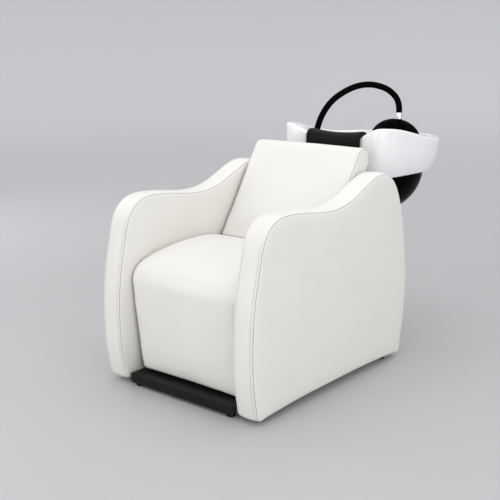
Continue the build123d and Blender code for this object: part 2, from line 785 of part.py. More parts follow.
with BuildPart() as basin:
    loft(
        [basin_plan(basin_bottom + rise, inset, basin_outline_shares) for rise, inset in basin_wall_insets]
    )
    loft(
        [
            basin_plan(basin_bottom + basin_flange_thickness, flange_inset, basin_outline_shares),
            basin_plan(basin_ledge_height - basin_ledge_thickness, basin_wall, basin_outline_shares),
        ],
        mode=Mode.SUBTRACT,
    )
    with BuildSketch(plan_at(basin_bottom)):
        with Locations((0, opening_middle)):
            Ellipse(opening_half_width, opening_half_length)
    extrude(amount=basin_flange_thickness + clearance, mode=Mode.SUBTRACT)
    loft(
        [
            oval(bowl_floor_height - bowl_wall, bowl_floor_middle, bowl_floor_half_width + bowl_wall,
                 bowl_floor_half_length + bowl_wall),
            oval(basin_ledge_height - rim_overlap, bowl_middle, bowl_half_width + bowl_wall,
                 bowl_half_length + bowl_wall),
        ]
    )
    loft(
        [
            basin_plan(basin_ledge_height, 0, basin_recess_shares),
            basin_plan(basin_top + rim_overlap, rim_inset, basin_outline_shares),
        ],
        mode=Mode.SUBTRACT,
    )
    loft(
        [
            oval(bowl_floor_height, bowl_floor_middle, bowl_floor_half_width, bowl_floor_half_length),
            oval(basin_ledge_height, bowl_middle, bowl_half_width, bowl_half_length),
        ],
        mode=Mode.SUBTRACT,
    )
    with BuildSketch(side_at(-overall_width / 2)):
        rim_line = [
            (
                basin_front + back * basin_length,
                basin_rear_height + up * (basin_ear_height - basin_rear_height),
            )
            for back, up in rim_line_shares
        ]
        with BuildLine():
            Spline(*rim_line)
            Polyline(
                rim_line[-1],
                (rim_line[-1][0], basin_ear_height + overrun),
                (rim_line[0][0], basin_ear_height + overrun),
                rim_line[0],
            )
        make_face()
    extrude(amount=overall_width, mode=Mode.SUBTRACT)
    with BuildSketch(front_at(basin_front + saddle_reach)):
        saddle = saddle_line()
        with BuildLine():
            Spline(*saddle)
            Polyline(
                saddle[-1],
                (saddle[-1][0], basin_ear_height + overrun),
                (saddle[0][0], basin_ear_height + overrun),
                saddle[0],
            )
        make_face()
    extrude(amount=saddle_reach + overrun, mode=Mode.SUBTRACT)
    with BuildSketch(plan_at(bowl_floor_height)):
        with Locations((0, bowl_floor_middle)):
            Circle(waste_hole_radius)
    extrude(amount=2 * bowl_wall, both=True, mode=Mode.SUBTRACT)
    with BuildSketch(plan_at(basin_ledge_height)):
        with Locations((grommet_x, grommet_depth)):
            Circle(grommet_sleeve_radius + clearance)
        with Locations((spray_x, spray_depth)):
            Circle(holder_radius + clearance)
        with Locations((0, mixer_depth)):
            Circle(mixer_shank_radius + clearance)
    extrude(amount=-2 * basin_ledge_thickness, mode=Mode.SUBTRACT)
    with BuildSketch(plan_at(basin_bottom)):
        with Locations(*screw_spots):
            Circle(screw_radius + clearance)
    extrude(amount=screw_hole_depth, mode=Mode.SUBTRACT)
save(basin, "basin")

# Neck rest: a soft saddle that hooks over the front wall of the basin
rest_setback, rest_length = 13.0, 71.0
rest_front, rest_rear = basin_front + rest_setback, basin_front + rest_setback + rest_length
rest_bottom_rise, rest_thickness = 23.0, 51.0
rest_bottom = basin_ledge_height + rest_bottom_rise
rest_top = rest_bottom + rest_thickness
rest_half_width = 126.0
rest_shoulder = 24.0
rest_flare = 12.0


def rest_section(across, lift):
    """One upright section of the neck rest, its crest raised by the lift."""
    crest = rest_top + lift
    with BuildSketch(side_at(across)) as section:
        with BuildLine():
            Polyline(
                (rest_rear, crest - rest_shoulder),
                (rest_rear, rest_bottom),
                (rest_front, rest_bottom),
                (rest_front, crest - rest_shoulder),
            )
            ThreePointArc(
                (rest_front, crest - rest_shoulder),
                ((rest_front + rest_rear) / 2, crest),
                (rest_rear, crest - rest_shoulder),
            )
        make_face()
    return section.sketch.face()


rest_stations = [
    (-rest_half_width, rest_flare), (-rest_half_width / 2, rest_flare / 4), (0, 0),
    (rest_half_width / 2, rest_flare / 4), (rest_half_width, rest_flare),
]

with BuildPart() as neck_rest:
    loft([rest_section(across, lift) for across, lift in rest_stations])
    add(basin.part, mode=Mode.SUBTRACT)
save(neck_rest, "neck_rest")

# Basin carrier: a ring plate under the basin with two lugs down to the pivot
ring_thickness = 6.0
ring_side_margin, ring_end_margin = 25.0, 22.0
ring_bore_side_lip, ring_bore_end_lip = 10.0, 8.0
ring_half_width = opening_half_width + ring_side_margin
ring_half_length = opening_half_length + ring_end_margin
ring_bore_half_width = opening_half_width - ring_bore_side_lip
ring_bore_half_length = opening_half_length - ring_bore_end_lip
ring_bottom = basin_bottom - ring_thickness
tongue_half_width = 70.0
tongue_forward, tongue_setback = 30.0, 26.0
tongue_front, tongue_rear = pivot_depth - tongue_forward, pivot_depth + tongue_setback
lug_thickness = 10.0
lug_inner_x = 36.0
lug_boss_radius = 22.0
bush_radius = 13.0
bush_flange_radius = 17.0
washer_thickness = 2.0

with BuildPart() as basin_carrier:
    with BuildSketch(plan_at(ring_bottom)):
        with Locations((0, opening_middle)):
            Ellipse(ring_half_width, ring_half_length)
        with Locations((0, (tongue_front + tongue_rear) / 2)):
            Rectangle(2 * tongue_half_width, tongue_rear - tongue_front)
        with Locations((0, opening_middle)):
            Ellipse(ring_bore_half_width, ring_bore_half_length, mode=Mode.SUBTRACT)
        with Locations(*screw_spots):
            Circle(screw_radius + clearance, mode=Mode.SUBTRACT)
    extrude(amount=ring_thickness)
    for side in (-1, 1):
        with BuildSketch(side_at(side * (lug_inner_x + lug_thickness / 2))):
            with BuildLine():
                Line((tongue_front, ring_bottom), (tongue_rear, ring_bottom))
                CenterArc((pivot_depth, pivot_height), lug_boss_radius, 180, 180)
                Line((pivot_depth + lug_boss_radius, pivot_height), (tongue_rear, ring_bottom))
                Line((pivot_depth - lug_boss_radius, pivot_height), (tongue_front, ring_bottom))
            make_face()
            with Locations((pivot_depth, pivot_height)):
                Circle(bush_radius, mode=Mode.SUBTRACT)
        extrude(amount=lug_thickness / 2, both=True)
save(basin_carrier, "basin_carrier")

with BuildPart() as pivot_bushes:
    with BuildSketch(side_at(lug_inner_x)):
        with Locations((pivot_depth, pivot_height)):
            Circle(bush_radius)
            Circle(pivot_radius + running_fit, mode=Mode.SUBTRACT)
    extrude(amount=lug_thickness)
    with BuildSketch(side_at(lug_inner_x)):
        with Locations((pivot_depth, pivot_height)):
            Circle(bush_flange_radius)
            Circle(pivot_radius + running_fit, mode=Mode.SUBTRACT)
    extrude(amount=-washer_thickness)
    mirror(about=Plane.YZ)
save(pivot_bushes, "pivot_bushes")

with BuildPart() as friction_washers:
    with BuildSketch(side_at(arm_inner_x - clearance)):
        with Locations((pivot_depth, pivot_height)):
            Circle(lug_boss_radius)
            Circle(pivot_radius + running_fit, mode=Mode.SUBTRACT)
    extrude(amount=lug_inner_x + lug_thickness - arm_inner_x + clearance)
    mirror(about=Plane.YZ)
save(friction_washers, "friction_washers")

# Lower shell: a moulded half ellipsoid hung on the ring
shell_side_margin, shell_end_margin, shell_drop = 37.0, 34.0, 195.0
shell_half_width = opening_half_width + shell_side_margin
shell_half_length = opening_half_length + shell_end_margin
shell_wall = 4.0
shell_flange_thickness = 6.0
shell_flange_side_margin, shell_flange_end_margin = 11.0, 8.0
shell_flange_bore_half_width = opening_half_width + shell_flange_side_margin
shell_flange_bore_half_length = opening_half_length + shell_flange_end_margin
shell_slot_half_width = 78.0
shell_slot_setback, shell_slot_fall = 51.0, 55.0
shell_slot_rear, shell_slot_bottom = pivot_depth + shell_slot_setback, pivot_height - shell_slot_fall
shell_drain_radius = 26.0
quarter_turn = 90


def half_ellipsoid(half_width, half_length, drop, middle, level):
    """The lower half of an ellipsoid, its flat face at the level; a negative drop turns it up."""
    with BuildPart() as unit:
        Sphere(1, arc_size1=-quarter_turn, arc_size2=0, align=(Align.CENTER, Align.CENTER, Align.MAX))
        scale(by=(half_width, half_length, abs(drop)))
        if drop < 0:
            mirror(about=Plane.XY, mode=Mode.REPLACE)
    return unit.part.moved(Location((0, front_y + middle, level)))


with BuildPart() as lower_shell:
    add(
        half_ellipsoid(
            shell_half_width, shell_half_length, shell_drop, opening_middle, basin_bottom - clearance
        )
    )
    add(
        half_ellipsoid(
            shell_half_width - shell_wall, shell_half_length - shell_wall, shell_drop - shell_wall,
            opening_middle, basin_bottom - clearance,
        ),
        mode=Mode.SUBTRACT,
    )
    with BuildSketch(plan_at(ring_bottom - shell_flange_thickness)):
        with Locations((0, opening_middle)):
            Ellipse(shell_half_width - shell_wall / 2, shell_half_length - shell_wall / 2)
            Ellipse(shell_flange_bore_half_width, shell_flange_bore_half_length, mode=Mode.SUBTRACT)
        with Locations(*screw_spots):
            Circle(screw_radius + clearance, mode=Mode.SUBTRACT)
    extrude(amount=shell_flange_thickness)
    with BuildSketch(front_at(shell_slot_rear)):
        with Locations((0, (shell_slot_bottom + basin_bottom + overrun) / 2)):
            RectangleRounded(
                2 * shell_slot_half_width, basin_bottom + overrun - shell_slot_bottom, board_corner
            )
    extrude(amount=2 * overrun, mode=Mode.SUBTRACT)
    with BuildSketch(plan_at(basin_bottom - shell_drop - overrun)):
        with Locations((0, bowl_floor_middle)):
            Circle(shell_drain_radius)
    extrude(amount=2 * overrun, mode=Mode.SUBTRACT)
save(lower_shell, "lower_shell")

screw_head_radius = 5.5
screw_head_height = 4.0

with BuildPart() as shell_screws:
    with BuildSketch(plan_at(ring_bottom - shell_flange_thickness)):
        with Locations(*screw_spots):
            Circle(screw_radius)
    extrude(amount=shell_flange_thickness + ring_thickness + screw_hole_depth - clearance)
    with BuildSketch(plan_at(ring_bottom - shell_flange_thickness)):
        with Locations(*screw_spots):
            Circle(screw_head_radius)
    extrude(amount=-screw_head_height)
save(shell_screws, "shell_screws")

# Waste: flanged outlet, lock nut, tailpiece and lift-out strainer
waste_flange_radius = 36.0
waste_flange_thickness = 3.0
waste_tube_radius = 23.0
waste_tube_wall = 3.7
waste_tube_length = 66.0
lock_nut_radius = 35.0
lock_nut_thickness = 12.0
tail_radius = 19.0
tail_wall = 1.6
spigot_radius = 20.0
spigot_length = 30.0
tail_seat_drop, tail_length = 36.0, 152.0
tail_top = bowl_floor_height - tail_seat_drop
tail_bottom = tail_top - tail_length
strainer_radius = 30.0
strainer_thickness = 2.0
strainer_skirt_wall = 1.5
strainer_skirt_depth = 9.0
strainer_hole_radius = 2.4
strainer_ring_radii = (9.0, 17.5, 25.0)
strainer_ring_counts = (6, 10, 14)
bowl_underside = bowl_floor_height - bowl_wall
waste_tube_bottom = bowl_floor_height - waste_tube_length
waste_bore = waste_tube_radius - waste_tube_wall
strainer_level = bowl_floor_height + waste_flange_thickness

with BuildPart() as waste_outlet:
    with BuildSketch(plan_at(bowl_floor_height)):
        with Locations((0, bowl_floor_middle)):
            Circle(waste_flange_radius)
    extrude(amount=waste_flange_thickness)
    with BuildSketch(plan_at(bowl_floor_height)):
        with Locations((0, bowl_floor_middle)):
            Circle(waste_tube_radius)
    extrude(amount=waste_tube_bottom - bowl_floor_height)
    with BuildSketch(plan_at(waste_tube_bottom)):
        with Locations((0, bowl_floor_middle)):
            Circle(waste_bore)
    extrude(amount=strainer_level - waste_tube_bottom, mode=Mode.SUBTRACT)
save(waste_outlet, "waste_outlet")

with BuildPart() as waste_lock_nut:
    with BuildSketch(plan_at(bowl_underside)):
        with Locations((0, bowl_floor_middle)):
            RegularPolygon(lock_nut_radius, 8)
            Circle(waste_tube_radius + running_fit, mode=Mode.SUBTRACT)
    extrude(amount=-lock_nut_thickness)
save(waste_lock_nut, "waste_lock_nut")

with BuildPart() as waste_tailpiece:
    with BuildSketch(plan_at(tail_bottom)):
        with Locations((0, bowl_floor_middle)):
            Circle(spigot_radius)
    extrude(amount=spigot_length)
    with BuildSketch(plan_at(tail_bottom)):
        with Locations((0, bowl_floor_middle)):
            Circle(tail_radius)
    extrude(amount=tail_top - tail_bottom)
    with BuildSketch(plan_at(tail_bottom)):
        with Locations((0, bowl_floor_middle)):
            Circle(tail_radius - tail_wall)
    extrude(amount=tail_top - tail_bottom, mode=Mode.SUBTRACT)
save(waste_tailpiece, "waste_tailpiece")

with BuildPart() as strainer:
    with BuildSketch(plan_at(strainer_level)):
        with Locations((0, bowl_floor_middle)):
            Circle(strainer_radius)
            for ring_radius, count in zip(strainer_ring_radii, strainer_ring_counts):
                with PolarLocations(ring_radius, count):
                    Circle(strainer_hole_radius, mode=Mode.SUBTRACT)
    extrude(amount=strainer_thickness)
    with BuildSketch(plan_at(strainer_level)):
        with Locations((0, bowl_floor_middle)):
            Circle(waste_bore - clearance)
            Circle(waste_bore - clearance - strainer_skirt_wall, mode=Mode.SUBTRACT)
    extrude(amount=-strainer_skirt_depth)
save(strainer, "strainer")

# Mixer on the ledge, its cartridge housing pointing out of the back of the hood
mixer_column_radius = 19.0
mixer_axis_rise = 61.0
mixer_axis_height = basin_ledge_height + mixer_axis_rise
mixer_housing_radius = 17.0
mixer_housing_rear_gap = 27.0
mixer_housing_rear = basin_rear - mixer_housing_rear_gap
manifold_half_width, manifold_half_length = 17.0, 12.0
manifold_drop, manifold_height = 63.0, 26.0
manifold_bottom = basin_ledge_height - manifold_drop
manifold_top = manifold_bottom + manifold_height
mixer_nut_radius = 24.0
mixer_nut_thickness = 9.0
ledge_underside = basin_ledge_height - basin_ledge_thickness

with BuildPart() as mixer_body:
    with BuildSketch(plan_at(basin_ledge_height)):
        with Locations((0, mixer_depth)):
            Circle(mixer_column_radius)
    extrude(amount=mixer_axis_height - basin_ledge_height)
    with BuildSketch(front_at(mixer_housing_rear)):
        with Locations((0, mixer_axis_height)):
            Circle(mixer_housing_radius)
    extrude(amount=mixer_housing_rear - mixer_depth + mixer_column_radius)
    with BuildSketch(plan_at(manifold_top)):
        with Locations((0, mixer_depth)):
            Circle(mixer_shank_radius)
    extrude(amount=basin_ledge_height - manifold_top)
    with BuildSketch(plan_at(manifold_bottom)):
        with Locations((0, mixer_depth)):
            RectangleRounded(2 * manifold_half_width, 2 * manifold_half_length, kick_bar_wall)
    extrude(amount=manifold_top - manifold_bottom)
save(mixer_body, "mixer_body")

with BuildPart() as mixer_nut:
    with BuildSketch(plan_at(ledge_underside)):
        with Locations((0, mixer_depth)):
            RegularPolygon(mixer_nut_radius, 6)
            Circle(mixer_shank_radius + running_fit, mode=Mode.SUBTRACT)
    extrude(amount=-mixer_nut_thickness)
save(mixer_nut, "mixer_nut")

inlet_radius = 5.0
inlet_offset = 9.5
inlet_drop = 179.0
inlet_bottom = basin_ledge_height - inlet_drop
union_radius = 8.5
union_height = 14.0

with BuildPart() as inlet_tails:
    with BuildSketch(plan_at(manifold_bottom)):
        with Locations((-inlet_offset, mixer_depth), (inlet_offset, mixer_depth)):
            Circle(inlet_radius)
    extrude(amount=inlet_bottom - manifold_bottom)
    with BuildSketch(plan_at(inlet_bottom)):
        with Locations((-inlet_offset, mixer_depth), (inlet_offset, mixer_depth)):
            RegularPolygon(union_radius, 6)
    extrude(amount=union_height)
save(inlet_tails, "inlet_tails")

# Mixer control: a hub that swings on the housing and a lever that tips in its slot
hub_radius = 17.0
hub_rear_gap, hub_slot_depth = 11.0, 12.0
hub_rear = basin_rear - hub_rear_gap
hub_slot_front = hub_rear - hub_slot_depth
lever_half_height = 6.0
lever_thickness = 8.0
lever_pin_inset = 6.5
lever_pin_depth = hub_rear - lever_pin_inset
lever_pin_radius = 2.0
lever_reach = 88.0
lever_root = 5.0
hub_front = mixer_housing_rear + clearance

with BuildPart() as lever_hub:
    with BuildSketch(front_at(hub_rear)):
        with Locations((0, mixer_axis_height)):
            Circle(hub_radius)
    extrude(amount=hub_rear - hub_front)
    with BuildSketch(front_at(hub_rear)):
        with Locations((0, mixer_axis_height)):
            Rectangle(2 * hub_radius + clearance, 2 * lever_half_height + 2 * clearance)
    extrude(amount=hub_rear - hub_slot_front, mode=Mode.SUBTRACT)
    with BuildSketch(plan_at(mixer_axis_height - lever_half_height - lever_pin_radius)):
        with Locations((0, lever_pin_depth)):
            Circle(lever_pin_radius)
    extrude(amount=2 * lever_half_height + 2 * lever_pin_radius)
save(lever_hub, "lever_hub")

with BuildPart() as mixer_lever:
    with BuildSketch(plan_at(mixer_axis_height - lever_half_height)):
        with Locations((-(lever_reach - lever_root) / 2, lever_pin_depth)):
            SlotOverall(lever_reach + lever_root, lever_thickness)
        with Locations((0, lever_pin_depth)):
            Circle(lever_pin_radius + running_fit, mode=Mode.SUBTRACT)
    extrude(amount=2 * lever_half_height)
save(mixer_lever, "mixer_lever")

# Tap hood: a domed cover over the mixer, grooved in front for the parked spray
hood_setback = 85.0
hood_middle = basin_rear - hood_setback
hood_half_width, hood_half_length, hood_rise = 125.0, 54.0, 97.0
hood_wall = 3.0
hood_groove_radius = 20.0
hood_groove_wall = 3.0
holder_flange_radius = 27.0
holder_flange_thickness = 3.5

with BuildPart() as tap_hood:
    add(half_ellipsoid(hood_half_width, hood_half_length, -hood_rise, hood_middle, basin_ledge_height))
    with BuildSketch(plan_at(basin_ledge_height)):
        with Locations((spray_x, spray_depth)):
            Circle(hood_groove_radius)
    extrude(amount=2 * hood_rise, mode=Mode.SUBTRACT)
    with BuildSketch(plan_at(basin_ledge_height)):
        with Locations((spray_x, spray_depth)):
            Circle(holder_flange_radius + clearance)
    extrude(amount=holder_flange_thickness + clearance, mode=Mode.SUBTRACT)
    with BuildSketch(front_at(mixer_housing_rear)):
        with Locations((0, mixer_axis_height)):
            Circle(mixer_housing_radius + clearance)
    extrude(amount=mixer_housing_rear - hood_middle, mode=Mode.SUBTRACT)

with BuildPart() as hood_hollow:
    add(
        half_ellipsoid(
            hood_half_width - hood_wall, hood_half_length - hood_wall, hood_wall - hood_rise,
            hood_middle, basin_ledge_height,
        )
    )
    with BuildSketch(plan_at(basin_ledge_height)):
        with Locations((spray_x, spray_depth)):
            Circle(holder_flange_radius + clearance + hood_groove_wall)
    extrude(amount=2 * hood_rise, mode=Mode.SUBTRACT)

with BuildPart() as hollow_hood:
    add(tap_hood.part)
    add(hood_hollow.part, mode=Mode.SUBTRACT)
save(hollow_hood, "tap_hood")

# Spray holder: a flanged cup through the ledge
holder_bore_radius = 19.5
holder_drop = 74.0
holder_bottom = basin_ledge_height - holder_drop
holder_floor = 3.0
holder_drain_radius = 6.0

with BuildPart() as spray_holder:
    with BuildSketch(plan_at(holder_bottom)):
        with Locations((spray_x, spray_depth)):
            Circle(holder_radius)
    extrude(amount=basin_ledge_height - holder_bottom)
    with BuildSketch(plan_at(basin_ledge_height)):
        with Locations((spray_x, spray_depth)):
            Circle(holder_flange_radius)
    extrude(amount=holder_flange_thickness)
    with BuildSketch(plan_at(holder_bottom + holder_floor)):
        with Locations((spray_x, spray_depth)):
            Circle(holder_bore_radius)
    extrude(amount=basin_ledge_height, mode=Mode.SUBTRACT)
    with BuildSketch(plan_at(holder_bottom)):
        with Locations((spray_x, spray_depth)):
            Circle(holder_drain_radius)
    extrude(amount=holder_floor, mode=Mode.SUBTRACT)
save(spray_holder, "spray_holder")

# Hand spray, turned about its own axis, nozzle down in the holder
spray_rise = 102.0
spray_top = basin_ledge_height + spray_rise
nozzle_bottom = holder_bottom + holder_floor + clearance
nozzle_radius = 18.4
nozzle_shoulder = 24.0
spray_waist_radius = 12.6
spray_waist_rise = 44.0
handle_radius = 14.0
handle_start = 96.0
handle_collar = 6.0
nozzle_recess_radius = 15.0
nozzle_recess_depth = 3.0
spray_plane = Plane(
    origin=(spray_x, front_y + spray_depth, nozzle_bottom), x_dir=(1, 0, 0), z_dir=(0, -1, 0)
)
spray_length = spray_top - nozzle_bottom

with BuildPart() as handset:
    with BuildSketch(spray_plane):
        with BuildLine():
            Polyline(
                (0, spray_length),
                (0, nozzle_recess_depth),
                (nozzle_recess_radius, nozzle_recess_depth),
                (nozzle_recess_radius, 0),
                (nozzle_radius, 0),
                (nozzle_radius, nozzle_shoulder),
            )
            Spline(
                (nozzle_radius, nozzle_shoulder),
                (spray_waist_radius, spray_waist_rise),
                (handle_radius, handle_start),
                tangents=((0, 1), (0, 1)),
            )
            Polyline(
                (handle_radius, handle_start),
                (handle_radius, spray_length - handle_collar),
                (handle_radius - tube_wall, spray_length),
                (0, spray_length),
            )
        make_face()
    revolve(axis=Axis((spray_x, front_y + spray_depth, 0), (0, 0, 1)))
save(handset, "handset")

with BuildPart() as spray_plate:
    with BuildSketch(spray_plane):
        with BuildLine():
            Polyline(
                (0, nozzle_recess_depth),
                (0, clearance),
                (nozzle_recess_radius - clearance, clearance),
                (nozzle_recess_radius - clearance, nozzle_recess_depth),
                close=True,
            )
        make_face()
    revolve(axis=Axis((spray_x, front_y + spray_depth, 0), (0, 0, 1)))
save(spray_plate, "spray_plate")

# Coupling nut between the handle and the hose
coupling_radius = 12.5
coupling_length = 28.0
coupling_top = spray_top + coupling_length
coupling_groove = 0.8

with BuildPart() as coupling_nut:
    with BuildSketch(plan_at(spray_top)):
        with Locations((spray_x, spray_depth)):
            Circle(coupling_radius)
    extrude(amount=coupling_top - spray_top)
    chamfer(coupling_nut.edges().filter_by(GeomType.CIRCLE), coupling_groove)
    with BuildSketch(plan_at(spray_top + handle_collar)):
        with Locations((spray_x, spray_depth)):
            Circle(coupling_radius + coupling_groove)
            Circle(coupling_radius - coupling_groove, mode=Mode.SUBTRACT)
    extrude(amount=2 * coupling_groove, mode=Mode.SUBTRACT)
save(coupling_nut, "coupling_nut")

# Hose grommet in the left shoulder, its lock nut and the pipe from the mixer
grommet_flange_radius = 20.0
grommet_rise, grommet_drop = 11.0, 31.0
grommet_top = basin_ledge_height + grommet_rise
grommet_bottom = basin_ledge_height - grommet_drop
grommet_socket_depth = 10.0
grommet_bore_radius = 6.0
hose_radius = 13.0
grommet_nut_radius = 25.0
grommet_nut_thickness = 9.0

with BuildPart() as hose_grommet:
    with BuildSketch(plan_at(grommet_bottom)):
        with Locations((grommet_x, grommet_depth)):
            Circle(grommet_sleeve_radius)
    extrude(amount=grommet_top - grommet_bottom)
    with BuildSketch(plan_at(basin_ledge_height)):
        with Locations((grommet_x, grommet_depth)):
            Circle(grommet_flange_radius)
    extrude(amount=grommet_top - basin_ledge_height)
    with BuildSketch(plan_at(grommet_top)):
        with Locations((grommet_x, grommet_depth)):
            Circle(hose_radius + clearance)
    extrude(amount=-grommet_socket_depth, mode=Mode.SUBTRACT)
    with BuildSketch(plan_at(grommet_bottom)):
        with Locations((grommet_x, grommet_depth)):
            Circle(grommet_bore_radius)
    extrude(amount=grommet_top - grommet_bottom, mode=Mode.SUBTRACT)
save(hose_grommet, "hose_grommet")

with BuildPart() as grommet_nut:
    with BuildSketch(plan_at(ledge_underside)):
        with Locations((grommet_x, grommet_depth)):
            RegularPolygon(grommet_nut_radius, 6)
            Circle(grommet_sleeve_radius + running_fit, mode=Mode.SUBTRACT)
    extrude(amount=-grommet_nut_thickness)
save(grommet_nut, "grommet_nut")

pipe_radius = 6.5
pipe_bend = 20.0
pipe_drop = 53.0
pipe_height = basin_ledge_height - pipe_drop
pipe_side_shift, pipe_side_run = 12.0, 120.0
pipe_corner_shift, pipe_corner_gap = 35.0, 45.0
pipe_last_run = 53.0
pipe_route = [
    (grommet_x, grommet_depth, grommet_bottom),
    (grommet_x, grommet_depth, pipe_height),
    (grommet_x - pipe_side_shift, grommet_depth + pipe_side_run, pipe_height),
    (grommet_x + pipe_corner_shift, mixer_depth - pipe_corner_gap, pipe_height),
    (-manifold_half_width - pipe_last_run, mixer_depth, pipe_height),
    (-manifold_half_width, mixer_depth, pipe_height),
]

with BuildPart() as outlet_pipe:
    with BuildLine() as pipe_line:
        FilletPolyline(*[(x, front_y + back, up) for x, back, up in pipe_route], radius=pipe_bend)
    with BuildSketch(pipe_line.line ^ 0):
        Circle(pipe_radius)
    sweep()
save(outlet_pipe, "outlet_pipe")

# Spray hose: a stiff arch from the grommet to the coupling nut, straight runs and tangent arcs.
# The route's corners are given across, back from the front and above the ledge.
hose_route = [
    (grommet_x, grommet_depth, 67.0),
    (-166.0, 1134.0, 173.0),
    (-106.0, 1199.0, 233.0),
    (-50.0, 1257.0, 253.0),
    (4.0, 1314.0, 236.0),
    (36.0, 1347.0, 200.0),
    (spray_x, spray_depth, 162.0),
]
corner_run_share = 0.45
hose_foot = (grommet_x, grommet_depth, grommet_top - grommet_socket_depth)
hose_tip = (spray_x, spray_depth, coupling_top)
hose_corners = [(x, back, basin_ledge_height + rise) for x, back, rise in hose_route]
hose_points = [Vector(x, front_y + back, up) for x, back, up in [hose_foot, *hose_corners, hose_tip]]
hose_radii = []
for before, corner, after in zip(hose_points, hose_points[1:], hose_points[2:]):
    turn = math.radians((corner - before).get_angle(after - corner))
    shorter = min((corner - before).length, (after - corner).length)
    hose_radii.append(corner_run_share * shorter / math.tan(turn / 2))
print("hose radii", [round(radius) for radius in hose_radii])

with BuildPart() as shower_hose:
    with BuildLine() as hose_line:
        FilletPolyline(*hose_points, radius=hose_radii)
    with BuildSketch(hose_line.line ^ 0):
        Circle(hose_radius)
    sweep()
hose_length = sum(edge.length for edge in hose_line.edges())
hose_share = shower_hose.part.volume / (math.pi * hose_radius**2 * hose_length)
print("hose length", round(hose_length), "volume share", round(hose_share, 3))
save(shower_hose, "shower_hose")
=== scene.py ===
# %% [markdown]
# # A salon hair washing bed
# A backwash unit joins an upholstered chair to a tilting ceramic basin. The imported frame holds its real
# pieces at their real size. This notebook dresses them: it upholsters the chair, glazes the basin and
# finishes the metal and plastic, and it moves nothing.

# %% Load the frame
import json
import math

import bmesh
import bpy
import numpy as np
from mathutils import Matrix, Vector


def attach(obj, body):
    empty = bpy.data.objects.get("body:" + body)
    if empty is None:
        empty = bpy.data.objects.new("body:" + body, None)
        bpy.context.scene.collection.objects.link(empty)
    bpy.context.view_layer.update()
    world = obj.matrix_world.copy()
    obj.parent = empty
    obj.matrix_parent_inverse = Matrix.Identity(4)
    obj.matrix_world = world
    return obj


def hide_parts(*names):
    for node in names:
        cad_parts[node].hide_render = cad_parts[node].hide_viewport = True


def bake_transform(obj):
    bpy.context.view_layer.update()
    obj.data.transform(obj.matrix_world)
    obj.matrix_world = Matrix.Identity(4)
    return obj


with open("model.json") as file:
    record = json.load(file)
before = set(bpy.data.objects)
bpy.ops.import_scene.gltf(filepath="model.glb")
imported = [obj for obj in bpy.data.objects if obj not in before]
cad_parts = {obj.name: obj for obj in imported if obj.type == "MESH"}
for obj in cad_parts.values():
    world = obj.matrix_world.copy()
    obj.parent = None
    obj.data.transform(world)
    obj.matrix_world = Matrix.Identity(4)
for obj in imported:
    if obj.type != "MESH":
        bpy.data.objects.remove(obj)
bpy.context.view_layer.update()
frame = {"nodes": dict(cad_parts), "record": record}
nodes = frame["nodes"]

# %% [markdown]
# The chair's drawings measure depth back from the front of the side panels, and the frame measures it
# from the middle of the whole unit. One small helper keeps the two apart, so every size below can be
# read straight off the drawings, in metres.

# %% Places in the chair's own terms
half_depth = 0.75


def at(across, depth, height):
    """A point given across the chair, back from its front, and up from the floor."""
    return Vector((across, depth - half_depth, height))


# %% [markdown]
# The camera stands where the photographer's stood: low, to the front right of the chair, with a long
# lens. It is made first, with the hose, because the hose is judged by what the camera sees.

# %% Camera
camera = bpy.data.objects.new("camera", bpy.data.cameras.new("camera"))
bpy.context.scene.collection.objects.link(camera)
camera.data.sensor_width = 36.0
camera.data.lens = 64.8
camera.location = (2.022, -2.805, 1.221)
camera.rotation_mode = "QUATERNION"
camera.rotation_quaternion = Vector((-0.6171, 0.7523, -0.2307)).to_track_quat("-Z", "Y")
bpy.context.scene.camera = camera

# %% [markdown]
# ## Finishes
# Every finish is a Principled shader fed by a little noise. The helpers below start a finish, read a
# pattern at a real scale from Object coordinates, and turn a pattern into relief.


# %% Helpers for finishes
def new_finish(name, colour, roughness, metallic=0.0):
    """A Principled finish with its plain colour, and the node tree to add detail to."""
    finish = bpy.data.materials.new(name)
    finish.use_nodes = True
    shader = finish.node_tree.nodes["Principled BSDF"]
    shader.inputs["Base Color"].default_value = (*colour, 1)
    shader.inputs["Roughness"].default_value = roughness
    shader.inputs["Metallic"].default_value = metallic
    return finish, finish.node_tree, shader


def noise(tree, per_metre, detail=3.0, stretch=(1, 1, 1)):
    """A noise pattern with so many waves to the metre, stretched along the axes if asked."""
    where = tree.nodes.new("ShaderNodeTexCoord")
    mapping = tree.nodes.new("ShaderNodeMapping")
    mapping.inputs["Scale"].default_value = stretch
    pattern = tree.nodes.new("ShaderNodeTexNoise")
    pattern.inputs["Scale"].default_value = per_metre
    pattern.inputs["Detail"].default_value = detail
    tree.links.new(where.outputs["Object"], mapping.inputs["Vector"])
    tree.links.new(mapping.outputs["Vector"], pattern.inputs["Vector"])
    return pattern.outputs["Fac"]


def cells(tree, per_metre):
    """A pattern of small cells, such as the pebbles of leather grain."""
    where = tree.nodes.new("ShaderNodeTexCoord")
    pattern = tree.nodes.new("ShaderNodeTexVoronoi")
    pattern.feature = "SMOOTH_F1"
    pattern.inputs["Scale"].default_value = per_metre
    tree.links.new(where.outputs["Object"], pattern.inputs["Vector"])
    return pattern.outputs["Distance"]


def shades(tree, pattern, low, high, where=(0.35, 0.65)):
    """The pattern as two shades of a colour."""
    ramp = tree.nodes.new("ShaderNodeValToRGB")
    for stop, spot, colour in zip(ramp.color_ramp.elements, where, (low, high)):
        stop.position = spot
        stop.color = (*colour, 1)
    tree.links.new(pattern, ramp.inputs["Fac"])
    return ramp.outputs["Color"]


